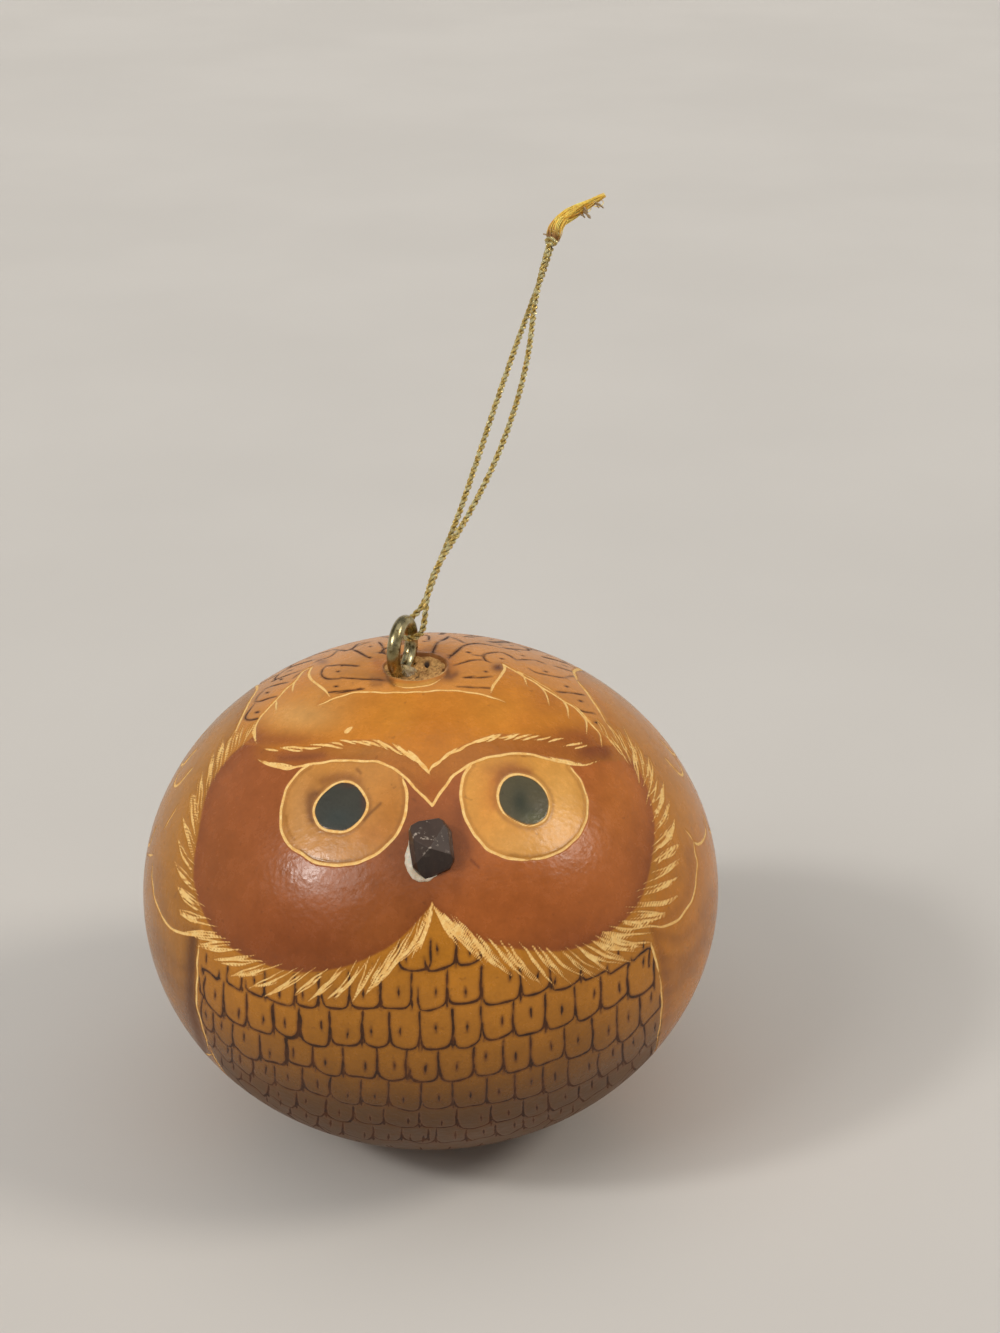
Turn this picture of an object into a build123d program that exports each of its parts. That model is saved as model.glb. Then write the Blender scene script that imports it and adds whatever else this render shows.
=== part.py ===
"""Carved hanging gourd: a whole dried gourd with a glued beak and a screw eye that carries a cord loop.

Millimetres, +Z up, the carved face looks along -Y. The origin is the centre of the flat underside.
"""

from build123d import *
from math import cos, pi, radians, sin, sqrt, tan
import os

# ---------------------------------------------------------------- driving dimensions
GOURD_R = 37.5  # equator radius
GOURD_C = 32.2  # half height of the full ellipsoid
BASE_R = 9.0  # radius of the flat that it stands on
WALL = 3.0  # dried shell thickness

RECESS_X, RECESS_Y = -1.6, -0.6  # the stem scar is a little off the axis
RECESS_TOP_R = 4.15  # rim of the hollow where the stem was broken off
CORE_R = 3.4  # woody stem core left in the neck
CORE_TOP_Z = 62.05
CORE_LEN = 4.6

EYE_X, EYE_Y, EYE_Z = -3.2, 0.0, 65.3  # centre of the ring
EYE_R = 3.25  # ring, to the middle of the wire
WIRE_R = 0.85
EYE_YAW = 20.0  # the ring's plane is turned this far from the YZ plane
SHANK_ROOT_R = 0.62
SHANK_CREST_R = 0.92
THREAD_PITCH = 0.8
SHANK_TIP_Z = 54.6
SHANK_TOP_Z = 61.0

GLUE_R = 2.45  # puddle of clear glue round the foot of the ring
GLUE_H = 0.95

BEAK_AT = (-0.308, -29.057, 51.612)  # on the gourd's surface
BEAK_H = 3.9  # apex above the surface
BEAK_FOOT = 0.9  # how deep it is let into the shell
PAD_R = 3.0  # round pocket filled with white glue
PAD_UP = 0.32
PAD_DOWN = 1.15

CORD_R = 0.5
LOOP_LEAN = 37.5  # the loop leans this far above the horizontal, towards the back
LOOP_MIN, LOOP_MAX = -34.0, 152.0  # swing about the ring's axis, from that lean

KNOT_AT, KNOT_N = 64.0, 3.5  # start of the knot along the loop, and its sideways place
KNOT_LEN, KNOT_R = 2.8, 1.45
TAIL_R = 0.75

SEED_L, SEED_W, SEED_T = 8.0, 4.4, 2.0

centre_z = GOURD_C * sqrt(1 - (BASE_R / GOURD_R) ** 2)
inner_r, inner_c = GOURD_R - WALL, GOURD_C - WALL

os.makedirs("parts", exist_ok=True)

# ---------------------------------------------------------------- planes
n_dir = Vector(cos(radians(EYE_YAW)), -sin(radians(EYE_YAW)), 0)  # through the ring's hole
h_dir = Vector(sin(radians(EYE_YAW)), cos(radians(EYE_YAW)), 0)  # backwards, in the ring's plane
u_dir = h_dir * cos(radians(LOOP_LEAN)) + Vector(0, 0, 1) * sin(radians(LOOP_LEAN))  # along the loop
w_dir = u_dir.cross(n_dir) * -1 if u_dir.cross(n_dir).Z < 0 else u_dir.cross(n_dir)
ring_centre = Vector(EYE_X, EYE_Y, EYE_Z)

beak_normal = Vector(
    BEAK_AT[0] / GOURD_R**2, BEAK_AT[1] / GOURD_R**2, (BEAK_AT[2] - centre_z) / GOURD_C**2
).normalized()
beak_plane = Plane(
    origin=BEAK_AT, x_dir=Vector(1, 0, 0) - beak_normal * beak_normal.X, z_dir=beak_normal
)


def at_loop(u, n, w):
    """A point of the cord loop: u along it from the ring's centre, n sideways, w across it."""
    return ring_centre + u_dir * u + n_dir * n + w_dir * w


# ---------------------------------------------------------------- screw eye
# One bent wire: a ring, a short neck and a pointed shank with a coarse thread.
# The ring is bent round until its end meets the neck again, with a hair of a gap there.
RING_GAP = 4.0  # degrees each side of the lowest point
gap = radians(RING_GAP)
wire_start = ring_centre + (h_dir * sin(gap) - Vector(0, 0, 1) * cos(gap)) * EYE_R
wire_plane = Plane(
    origin=wire_start, x_dir=n_dir, z_dir=h_dir * cos(gap) + Vector(0, 0, 1) * sin(gap)
)
with BuildPart() as screw_eye:
    with BuildSketch(Plane.XZ.offset(-EYE_Y)):
        with BuildLine():
            profile = [
                (EYE_X, SHANK_TOP_Z + 1.25),
                (EYE_X + 0.40, SHANK_TOP_Z + 1.25),
                (EYE_X + 1.06, SHANK_TOP_Z + 0.60),
                (EYE_X + 1.06, SHANK_TOP_Z + 0.15),
                (EYE_X + SHANK_ROOT_R, SHANK_TOP_Z - 0.20),
            ]
            z = SHANK_TOP_Z - 0.20
            while z - THREAD_PITCH > SHANK_TIP_Z + 1.4:
                profile += [
                    (EYE_X + SHANK_CREST_R, z - 0.45 * THREAD_PITCH),
                    (EYE_X + SHANK_CREST_R, z - 0.55 * THREAD_PITCH),
                    (EYE_X + SHANK_ROOT_R, z - THREAD_PITCH),
                ]
                z -= THREAD_PITCH
            profile += [(EYE_X, SHANK_TIP_Z)]
            Polyline(*reversed(profile), close=True)
        make_face()
    revolve(axis=Axis((EYE_X, EYE_Y, 0), (0, 0, 1)), revolution_arc=360)
    with BuildSketch(wire_plane):
        Circle(WIRE_R)
    revolve(axis=Axis(ring_centre, n_dir), revolution_arc=360 - 2 * RING_GAP)
screw_eye.part.label = "screw_eye"
print("screw eye volume", round(screw_eye.part.volume, 2), "solids", len(screw_eye.solids()))

# ---------------------------------------------------------------- beak, its glue and their pocket
# A small block with a bevelled, four-sided point. The outline is irregular, as whittled.
outline = [
    (-2.02, 3.45),
    (-1.10, 3.95),
    (1.28, 4.30),
    (1.82, 4.00),
    (2.72, 2.72),
    (2.90, 0.44),
    (3.02, -0.50),
    (2.50, -1.50),
    (-0.32, -2.72),
    (-1.17, -2.15),
    (-1.84, -1.42),
    (-2.20, 1.00),
    (-2.26, 2.90),
]
apex = (0.18, 0.02, BEAK_H)
ridge = [(-2.05, 1.72, 2.55), (1.25, 1.98, 2.95), (2.52, -0.32, 2.35), (-1.16, -1.22, 2.65)]


def facet(a, b, c):
    """The plane through three points of the beak, facing outwards."""
    pa, pb, pc = (beak_plane.from_local_coords(Vector(*p)) for p in (a, b, c))
    normal = (pb - pa).cross(pc - pa).normalized()
    return Plane(origin=pa, z_dir=normal if normal.dot(beak_normal) > 0 else normal * -1)


with BuildPart() as beak:
    with BuildSketch(beak_plane.offset(-BEAK_FOOT)):
        with BuildLine():
            Polyline(*outline, close=True)
        make_face()
    extrude(amount=BEAK_FOOT + BEAK_H)
    for a, b in zip(ridge, ridge[1:] + ridge[:1]):
        split(bisect_by=facet(apex, a, b), keep=Keep.BOTTOM)
    # the flanks lean in a little towards the point
    for a, b in zip(outline, outline[1:] + outline[:1]):
        mid = ((a[0] + b[0]) / 2, (a[1] + b[1]) / 2)
        side = Vector(b[1] - a[1], a[0] - b[0], 0)
        if side.dot(Vector(mid[0], mid[1], 0)) < 0:
            side = side * -1
        side = side.normalized()
        rise = 1.35
        split(
            bisect_by=facet(
                (a[0], a[1], rise), (b[0], b[1], rise), (mid[0] - side.X, mid[1] - side.Y, rise + 2.6)
            ),
            keep=Keep.BOTTOM,
        )
beak.part.label = "beak"

with BuildPart() as beak_glue:
    with BuildSketch(beak_plane.offset(-PAD_DOWN)):
        with Locations((-0.15, 0.35)):
            Ellipse(PAD_R - 0.35, PAD_R + 0.3)
    extrude(amount=PAD_DOWN + PAD_UP)
    top_edges = beak_glue.edges().sort_by(Axis(beak_plane.origin, beak_plane.z_dir))[-1:]
    fillet(top_edges, 0.28)
pad_pocket = beak_glue.part  # before the beak's foot is taken out of it
with BuildPart() as beak_glue_cut:
    add(pad_pocket)
    add(beak.part, mode=Mode.SUBTRACT)
beak_glue = beak_glue_cut
beak_glue.part.label = "beak_glue"

# ---------------------------------------------------------------- gourd shell
recess = Pos(RECESS_X, RECESS_Y, CORE_TOP_Z + 1.0) * Cone(
    CORE_R, RECESS_TOP_R + 0.28, 2.0
)  # open bowl above the stem core
bowl_slope = (RECESS_TOP_R + 0.28 - CORE_R) / 2.0
bowl_space = Pos(RECESS_X, RECESS_Y, CORE_TOP_Z + 0.5) * Cone(
    CORE_R - bowl_slope, RECESS_TOP_R + 0.28, 3.0
)  # the same bowl carried on 1 mm further down, to trim the glue with
neck = Pos(RECESS_X, RECESS_Y, CORE_TOP_Z - CORE_LEN / 2) * Cylinder(CORE_R, CORE_LEN)

with BuildPart() as gourd_shell:
    with BuildSketch(Plane.XZ):
        with Locations((0, centre_z)):
            Ellipse(GOURD_R, GOURD_C)
            Ellipse(inner_r, inner_c, mode=Mode.SUBTRACT)
        with Locations((-GOURD_R, centre_z)):
            Rectangle(2 * GOURD_R, 3 * GOURD_C, mode=Mode.SUBTRACT)
        with Locations((0, -GOURD_C)):
            Rectangle(3 * GOURD_R, 2 * GOURD_C, mode=Mode.SUBTRACT)
    revolve(axis=Axis.Z, revolution_arc=360)
    add(recess, mode=Mode.SUBTRACT)
    add(neck, mode=Mode.SUBTRACT)
    add(pad_pocket, mode=Mode.SUBTRACT)
    add(beak.part, mode=Mode.SUBTRACT)
gourd_shell.part.label = "gourd_shell"

# ---------------------------------------------------------------- stem core and the glue round the eye
with BuildPart() as stem_core:
    add(neck)
    add(screw_eye.part, mode=Mode.SUBTRACT)
stem_core.part.label = "stem_core"

with BuildPart() as eye_glue:
    with Locations((-3.75, -0.75, CORE_TOP_Z + GLUE_H / 2)):
        Cone(GLUE_R, GLUE_R - 1.1, GLUE_H)
    add(bowl_space, mode=Mode.INTERSECT)
    add(screw_eye.part, mode=Mode.SUBTRACT)
eye_glue.part.label = "eye_glue"

# ---------------------------------------------------------------- cord loop
# Both ends are in the knot. It goes down one leg, through the ring, round the wire on its far side and
# back up the other leg. u, n, w as in at_loop.
route = [
    (64.0, 3.5, -0.54),
    (60.0, 3.5, -0.54),
    (54.5, 3.12, -0.50),
    (46.5, 2.85, -0.10),
    (37.0, 2.55, 0.05),
    (27.5, 2.30, -0.05),
    (19.5, 1.95, -0.30),
    (12.8, 1.20, -0.60),
    (8.9, 0.95, -0.85),
    (6.3, 0.30, -1.35),
    (4.9, -0.75, -1.55),
    (3.638, -1.47, -1.288),
    (2.489, -1.47, -0.881),
    (1.678, -0.609, -0.594),
    (1.678, 0.609, -0.594),
    (2.489, 1.47, -0.881),
    (3.638, 1.47, -1.288),
    (5.2, 1.40, -0.70),
    (7.6, 1.15, 0.20),
    (11.5, 1.35, 0.55),
    (18.5, 3.20, 0.30),
    (27.5, 4.75, 0.00),
    (37.0, 5.40, -0.05),
    (46.0, 5.05, 0.05),
    (53.0, 4.00, 0.50),
    (60.0, 3.50, 0.54),
    (64.0, 3.50, 0.54),
]


def corner_radii(points):
    """Each corner's arc takes 0.45 of its shorter run."""
    radii = []
    for a, b, c in zip(points, points[1:], points[2:]):
        into, out = b - a, c - b
        half_turn = radians(into.get_angle(out) / 2)
        radii.append(0.45 * min(into.length, out.length) / tan(half_turn))
    return radii


loop_points = [at_loop(*p) for p in route]
loop_radii = corner_radii(loop_points)
print("cord radii", [round(r, 2) for r in loop_radii])
with BuildPart() as hanging_cord:
    with BuildLine() as loop_path:
        FilletPolyline(*loop_points, radius=loop_radii)
    with BuildSketch(Plane(origin=loop_path.wires()[0] @ 0, z_dir=loop_path.wires()[0] % 0)):
        Circle(CORD_R)
    sweep(path=loop_path.wires()[0])
hanging_cord.part.label = "hanging_cord"
cord_length = loop_path.wires()[0].length
print(
    "cord length", round(cord_length, 2),
    "volume", round(hanging_cord.part.volume, 3),
    "section x length", round(pi * CORD_R**2 * cord_length, 3),
)

# ---------------------------------------------------------------- knot and frayed ends
knot_plane = Plane(origin=at_loop(KNOT_AT, KNOT_N, 0), x_dir=n_dir, z_dir=u_dir)
with BuildPart() as cord_knot:
    with BuildSketch(Plane(origin=knot_plane.origin, x_dir=knot_plane.x_dir, z_dir=knot_plane.y_dir)):
        # x is n, y runs back along the loop, so the knot grows towards -y
        with BuildLine():
            Polyline((0, 0), (1.10, 0))
            Spline((1.10, 0), (KNOT_R, -1.15), (1.30, -2.05), (0.80, -KNOT_LEN))
            Polyline((0.80, -KNOT_LEN), (0, -KNOT_LEN), (0, 0))
        make_face()
    revolve(axis=Axis(knot_plane.origin, knot_plane.z_dir), revolution_arc=360)
cord_knot.part.label = "cord_knot"

tail_route = [(KNOT_AT + KNOT_LEN, 3.5), (67.9, 3.5), (69.9, 4.9), (71.5, 7.0), (73.9, 9.5)]
tail_points = [at_loop(u, n, 0) for u, n in tail_route]
tail_radii = corner_radii(tail_points)
print("tail radii", [round(r, 2) for r in tail_radii])
with BuildPart() as cord_tails:
    with BuildLine() as tail_path:
        FilletPolyline(*tail_points, radius=tail_radii)
    with BuildSketch(Plane(origin=tail_path.wires()[0] @ 0, z_dir=tail_path.wires()[0] % 0)):
        Circle(TAIL_R)
    sweep(path=tail_path.wires()[0])
cord_tails.part.label = "cord_tails"

# ---------------------------------------------------------------- loose seeds
# Flat, pointed seeds lying on the inside of the bottom.
seed_places = [(1.0, 0.0, 25.0)]
seed_places += [(9.8, 72.0 * i + 10, 37.0 * i) for i in range(5)]
seed_places += [(17.6, 45.0 * i + 28, 90 + 23.0 * i) for i in range(8)]
seed_planes = []
for r, around, turn in seed_places:
    x, y = r * cos(radians(around)), r * sin(radians(around))
    z = centre_z - inner_c * sqrt(1 - (r / inner_r) ** 2)
    up = Vector(-x / inner_r**2, -y / inner_r**2, (centre_z - z) / inner_c**2).normalized()
    flat = Vector(cos(radians(turn)), sin(radians(turn)), 0)
    flat = flat - up * flat.dot(up)
    # lifted so that the long edges clear the hollow of the shell
    seed_planes.append(Plane(origin=Vector(x, y, z) + up * 0.34, x_dir=flat, z_dir=up))

with BuildPart() as seeds:
    for place in seed_planes:
        with BuildSketch(place):
            with BuildLine():
                Spline(
                    (-SEED_L / 2, 0),
                    (0.6, SEED_W / 2),
                    (SEED_L / 2, 0.9),
                )
                Line((SEED_L / 2, 0.9), (SEED_L / 2, -0.9))
                Spline(
                    (SEED_L / 2, -0.9),
                    (0.6, -SEED_W / 2),
                    (-SEED_L / 2, 0),
                )
            make_face()
        extrude(amount=SEED_T)
seeds.part.label = "seeds"

# ---------------------------------------------------------------- files
export_step(gourd_shell.part, "parts/gourd_shell.step")
export_step(stem_core.part, "parts/stem_core.step")
export_step(eye_glue.part, "parts/eye_glue.step")
export_step(screw_eye.part, "parts/screw_eye.step")
export_step(beak.part, "parts/beak.step")
export_step(beak_glue.part, "parts/beak_glue.step")
export_step(hanging_cord.part, "parts/hanging_cord.step")
export_step(cord_knot.part, "parts/cord_knot.step")
export_step(cord_tails.part, "parts/cord_tails.step")
export_step(seeds.part, "parts/seeds.step")
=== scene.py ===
"""Carved hanging gourd: the looks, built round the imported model. Metres, +Z up, the carved face looks along -Y.

The carving is drawn as strokes in the 1000 x 1333 frame of the camera, and each stroke is cast from the camera on to the
gourd, so it is real geometry: a groove in the shell's mesh. The sides, back and underside are drawn by longitude and latitude.
"""

import math

import bmesh
import bpy
import numpy as np
from mathutils import Matrix, Vector


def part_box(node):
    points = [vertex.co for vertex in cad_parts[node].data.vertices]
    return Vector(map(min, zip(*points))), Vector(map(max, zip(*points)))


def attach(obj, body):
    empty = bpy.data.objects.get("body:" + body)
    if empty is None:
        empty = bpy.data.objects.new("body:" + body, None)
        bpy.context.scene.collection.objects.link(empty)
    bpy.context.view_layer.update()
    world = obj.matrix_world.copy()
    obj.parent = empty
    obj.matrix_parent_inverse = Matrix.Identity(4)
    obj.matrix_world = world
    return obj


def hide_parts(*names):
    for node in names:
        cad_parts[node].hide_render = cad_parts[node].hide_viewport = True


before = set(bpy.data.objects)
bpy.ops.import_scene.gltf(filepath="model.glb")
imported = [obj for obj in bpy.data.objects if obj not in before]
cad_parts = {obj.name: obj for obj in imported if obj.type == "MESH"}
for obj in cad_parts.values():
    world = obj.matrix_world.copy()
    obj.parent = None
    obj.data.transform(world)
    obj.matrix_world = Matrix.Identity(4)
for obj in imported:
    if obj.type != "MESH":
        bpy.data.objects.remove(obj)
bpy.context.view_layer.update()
rng = np.random.default_rng(11)
MM = 0.001
scene = bpy.context.scene

# ---------------------------------------------------------------- camera
FOCAL = 2274.2024  # pixels of the 1000 x 1333 frame
EYE = np.array([0.0, -259.80762, 181.25889])
RIGHT = np.array([0.99940181, -0.0345837, 0.0])
UP = np.array([0.01437285, 0.41534748, 0.90954928])
AHEAD = np.array([0.03145558, 0.90900519, -0.41559608])

cam_data = bpy.data.cameras.new("camera")
cam_data.sensor_width = 36.0
cam_data.lens = FOCAL * 36.0 / 1333.0
cam_data.clip_start, cam_data.clip_end = 0.01, 30.0
cam = bpy.data.objects.new("camera", cam_data)
scene.collection.objects.link(cam)
cam.matrix_world = Matrix(
    [[RIGHT[i], UP[i], -AHEAD[i], EYE[i] * MM] for i in range(3)] + [[0, 0, 0, 1]]
)
scene.camera = cam

# ---------------------------------------------------------------- the gourd's form, in millimetres
A, C = 37.5, 32.2
ZC = C * math.sqrt(1 - (9.0 / A) ** 2)
IN_A, IN_C = 34.5, 29.2
RECESS = np.array([-1.6, -0.6])
CORE_TOP = 62.05


def cast(px):
    """Frame pixels to points on the gourd. Pixels beside it go to its outline."""
    px = np.atleast_2d(np.asarray(px, float))
    d = AHEAD + np.outer((px[:, 0] - 500) / FOCAL, RIGHT) - np.outer((px[:, 1] - 666.5) / FOCAL, UP)
    d /= np.linalg.norm(d, axis=1, keepdims=True)
    s = np.array([1 / A, 1 / A, 1 / C])
    o = (EYE - np.array([0, 0, ZC])) * s
    dd = d * s
    aa, bb, cc = (dd * dd).sum(1), dd @ o, o @ o - 1
    disc = np.maximum(bb * bb - aa * cc, 0)
    t = (-bb - np.sqrt(disc)) / aa
    p = EYE + d * t[:, None]
    q = (p - [0, 0, ZC]) * s
    q /= np.linalg.norm(q, axis=1, keepdims=True)
    return q / s + [0, 0, ZC]


def to_frame(p):
    """Points to frame pixels."""
    d = p - EYE
    z = d @ AHEAD
    return np.stack([500 + FOCAL * (d @ RIGHT) / z, 666.5 - FOCAL * (d @ UP) / z], -1)


def globe(lon, lat):
    """Longitude from the face (+ to its left, our right) and the ellipse's own latitude, in degrees, to points."""
    lon, lat = np.radians(np.asarray(lon, float)), np.radians(np.asarray(lat, float))
    return np.stack(
        [A * np.cos(lat) * np.sin(lon), -A * np.cos(lat) * np.cos(lon), ZC + C * np.sin(lat)], -1
    )


def smooth(points, step, loop=False):
    """A Catmull-Rom curve through the points, at about that spacing."""
    p = np.asarray(points, float)
    if loop:
        e = np.vstack([p[-1:], p, p[:2]])
    elif len(p) == 2:
        n = max(2, int(np.linalg.norm(p[1] - p[0]) / step) + 1)
        return p[0] + (p[1] - p[0]) * np.linspace(0, 1, n)[:, None]
    else:
        e = np.vstack([2 * p[0] - p[1], p, 2 * p[-1] - p[-2]])
    out = []
    for i in range(1, len(e) - 2):
        n = max(1, int(np.linalg.norm(e[i + 1] - e[i]) / step))
        t = (np.arange(n) / n)[:, None]
        a, b, c, d = e[i - 1], e[i], e[i + 1], e[i + 2]
        out.append(
            0.5 * (2 * b + (c - a) * t + (2 * a - 5 * b + 4 * c - d) * t**2 + (3 * b - a - 3 * c + d) * t**3)
        )
    out.append(p[:1] if loop else p[-1:])
    return np.vstack(out)


# ---------------------------------------------------------------- the mesh's grid
NA = 1088  # points round the widest rings, closer together in front
weight_at = np.radians(np.linspace(-180, 180, 3601))
density = 1.0 / (0.175 + 0.125 / (1 + np.exp(-(np.abs(np.degrees(weight_at)) - 104) / 6)))
cumulative = np.concatenate([[0], np.cumsum((density[1:] + density[:-1]) / 2)])
PHI = np.interp(np.arange(NA) / NA, cumulative / cumulative[-1], weight_at)

lat_fine = np.linspace(-math.asin(ZC / C), math.acos(4.3 / A), 20001)
arc = np.concatenate(
    [[0], np.cumsum(np.hypot(np.diff(A * np.cos(lat_fine)), np.diff(C * np.sin(lat_fine))))]
)
NI = int(arc[-1] / 0.178 / 16 + 0.5) * 16
LAT = np.interp(np.linspace(0, arc[-1], NI), arc, lat_fine)
RHO = A * np.cos(LAT)


def off_axis(rho):
    """How far a ring near the top has moved towards the stem scar."""
    t = np.clip((17.0 - rho) / 12.0, 0, 1)
    return t * t * (3 - 2 * t)


move = off_axis(RHO) * (LAT > 0)
X = RHO[:, None] * np.sin(PHI) + (move * RECESS[0])[:, None]
Y = -RHO[:, None] * np.cos(PHI) + (move * RECESS[1])[:, None]
side = np.where(LAT > 0.5, 1.0, 0.0)[:, None]
Z = np.where(
    side > 0,
    ZC + C * np.sqrt(np.maximum(1 - (X**2 + Y**2) / A**2, 0)),
    (ZC + C * np.sin(LAT))[:, None] + 0 * X,
)
P = np.stack([X, Y, Z], -1)
N = P * [1 / A**2, 1 / A**2, 1 / C**2] - [0, 0, ZC / C**2]
N /= np.linalg.norm(N, axis=2, keepdims=True)
LON = np.degrees(np.arctan2(P[..., 0], -P[..., 1]))
GLAT = np.degrees(np.arcsin(np.clip((P[..., 2] - ZC) / C, -1, 1)))

BLOCK = 16
nbi, nbj = NI // BLOCK, NA // BLOCK


def to_blocks(a):
    return (
        a.reshape(nbi, BLOCK, nbj, BLOCK, -1).transpose(0, 2, 1, 3, 4).reshape(nbi * nbj, BLOCK * BLOCK, -1).squeeze()
    )


def from_blocks(b):
    return b.reshape(nbi, nbj, BLOCK, BLOCK).transpose(0, 2, 1, 3).reshape(NI, NA)


PB = np.ascontiguousarray(to_blocks(P))
box_lo, box_hi = PB.min(1), PB.max(1)
cut = np.full(PB.shape[:2], -1.0)  # pale carved strokes: half width less the distance, in mm
burn = np.full(PB.shape[:2], -1.0)  # scorched lines


def draw(field, points, half, reach=0.7):
    """One stroke: a line of points on the gourd with a half width at each."""
    points = np.asarray(points, float)
    half = np.broadcast_to(np.asarray(half, float), (len(points),))
    for s in range(0, len(points) - 1, 8):
        p, h = points[s : s + 9], half[s : s + 9]
        if len(p) < 2:
            continue
        grow = reach + h.max()
        near = np.nonzero(((box_hi >= p.min(0) - grow) & (box_lo <= p.max(0) + grow)).all(1))[0]
        if not len(near):
            continue
        v = PB[near].reshape(-1, 3)
        a, ab = p[:-1], p[1:] - p[:-1]
        l2 = np.maximum((ab * ab).sum(1), 1e-9)
        dot = v @ ab.T - (a * ab).sum(1)
        t = np.clip(dot / l2, 0, 1)
        d2 = (v * v).sum(1)[:, None] - 2 * v @ a.T + (a * a).sum(1) - 2 * t * dot + t * t * l2
        sd = (h[:-1] + t * (h[1:] - h[:-1]) - np.sqrt(np.maximum(d2, 0))).max(1)
        field[near] = np.maximum(field[near], sd.reshape(-1, BLOCK * BLOCK))


def widths(n, half, start=0.0, end=0.0, wobble=0.12):
    """A hand-cut stroke's half width along it: start and end are the lengths of its tapers, as shares."""
    t = np.linspace(0, 1, n)
    w = np.ones(n)
    if start:
        w *= np.clip(t / start, 0, 1) ** 0.6
    if end:
        w *= np.clip((1 - t) / end, 0, 1) ** 0.6
    bumps = 1 + wobble * np.sin(t * n * 0.9 + rng.uniform(0, 6)) * rng.uniform(0.5, 1)
    return half * w * bumps + 0.035


def line(px, half=0.2, start=0.08, end=0.08, field=None, wobble=0.12, shake=0.25, loop=False):
    """A stroke drawn in the camera's frame."""
    c = smooth(px, 2.5, loop)
    c = c + np.stack([np.sin(np.arange(len(c)) * 0.8 + rng.uniform(0, 6)) for _ in range(2)], -1) * shake
    if loop:
        c[-1] = c[0]
    draw(cut if field is None else field, cast(c), widths(len(c), half, start, end, wobble))


def shape(points, x0=0.0, y0=0.0, s=1.0):
    """Points of an enlarged drawing, whose corner and scale are given, to the frame."""
    return [(x0 + x / s, y0 + y / s) for x, y in points]


# ---------------------------------------------------------------- drawing: face
left_face = [(256, 736), (236, 760), (215, 790), (206, 812), (201, 837), (195, 860), (195, 877), (197, 897), (205, 916), (223, 936), (250, 952), (290, 966), (333, 968), (373, 956), (405, 936), (424, 912), (432, 903)]
right_face = [(452, 924), (484, 940), (519, 948), (559, 950), (594, 940), (626, 916), (642, 893), (652, 853), (654, 821), (646, 786), (630, 758), (602, 734)]
left_ear = [(313.6, 665.6), (302.8, 671.4), (294.5, 681.4), (284.6, 689.7), (274.6, 701.3), (266.3, 709.6), (259.7, 717.8), (254.7, 727.8), (255.6, 738.6)]
left_ear_in = [(312.8, 665.6), (308.6, 673), (310.3, 678), (319.4, 685.5), (326, 691.3), (330.2, 697.1)]
right_ear = [(502.7, 662.5), (507, 665.5), (520.4, 673.6), (534.6, 681.6), (547, 689.6), (561.4, 698.6), (575.7, 707.5), (584.6, 716.4), (593.6, 725.4), (600.7, 734.3), (602.5, 746.8)]
right_ear_in = [(502.5, 662.9), (505, 668), (500.7, 675.4), (493.6, 684.3), (491, 693)]
forehead = [(316, 705.4), (326, 701.3), (341, 695.5), (359, 691.3), (382.4, 691.6), (399, 691.3), (424, 690.5), (440, 689.3), (450.7, 689.6), (466.8, 691.4), (481, 694), (491.8, 696.8), (506, 702)]
eyelid = [(257, 760), (266, 765), (286, 768), (309, 764), (323, 762), (338, 760), (355, 760.5), (372, 761), (380, 762), (389, 766), (396, 770), (404, 776), (414, 787), (424, 797), (432.5, 805.5)]
eyelid_r = [(432.5, 805.5), (438, 796), (445, 787), (451, 778), (457, 773), (468, 765.5), (482, 759), (495, 756), (508, 754), (520, 753), (532, 754.5), (543, 757), (553, 760), (561.4, 761.5), (575.7, 764.6), (588, 763.8), (599.8, 760.7)]
brow = [(264, 748), (275, 751), (299, 748), (333, 743), (357, 741), (379, 743), (399, 751), (416, 762), (429, 773)]
brow_r = [(429, 773), (436, 764), (447, 755), (461, 748), (476, 742), (499, 736), (526, 737), (547, 740), (565, 743), (586, 747)]
left_eye = shape([(600, 393), (540, 425), (475, 490), (400, 600), (365, 730), (350, 850), (360, 960), (400, 1060), (450, 1110), (530, 1160), (600, 1210), (720, 1255), (900, 1262), (1040, 1235), (1180, 1170), (1290, 1080), (1380, 970), (1430, 850), (1455, 700), (1445, 600), (1415, 500)], 240, 720, 8.711)
left_pupil = shape([(905, 530), (975, 545), (1040, 590), (1085, 650), (1108, 720), (1100, 790), (1060, 860), (1000, 920), (930, 963), (860, 975), (775, 962), (700, 930), (655, 870), (640, 800), (655, 725), (700, 655), (760, 598), (830, 553)], 240, 720, 8.711)
right_eye = shape([(560, 190), (510, 260), (480, 360), (480, 470), (500, 570), (535, 660), (600, 760), (680, 850), (760, 895), (850, 925), (930, 938), (1020, 938), (1110, 925), (1220, 890), (1330, 820), (1420, 720), (1465, 610), (1475, 500), (1455, 400), (1410, 300), (1335, 205)], 400, 740, 7.84)
right_pupil = shape([(915, 268), (985, 275), (1050, 303), (1105, 350), (1150, 410), (1172, 480), (1170, 550), (1145, 610), (1090, 655), (1020, 672), (950, 658), (870, 618), (810, 570), (775, 500), (768, 425), (790, 340), (845, 288)], 400, 740, 7.84)

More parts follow.
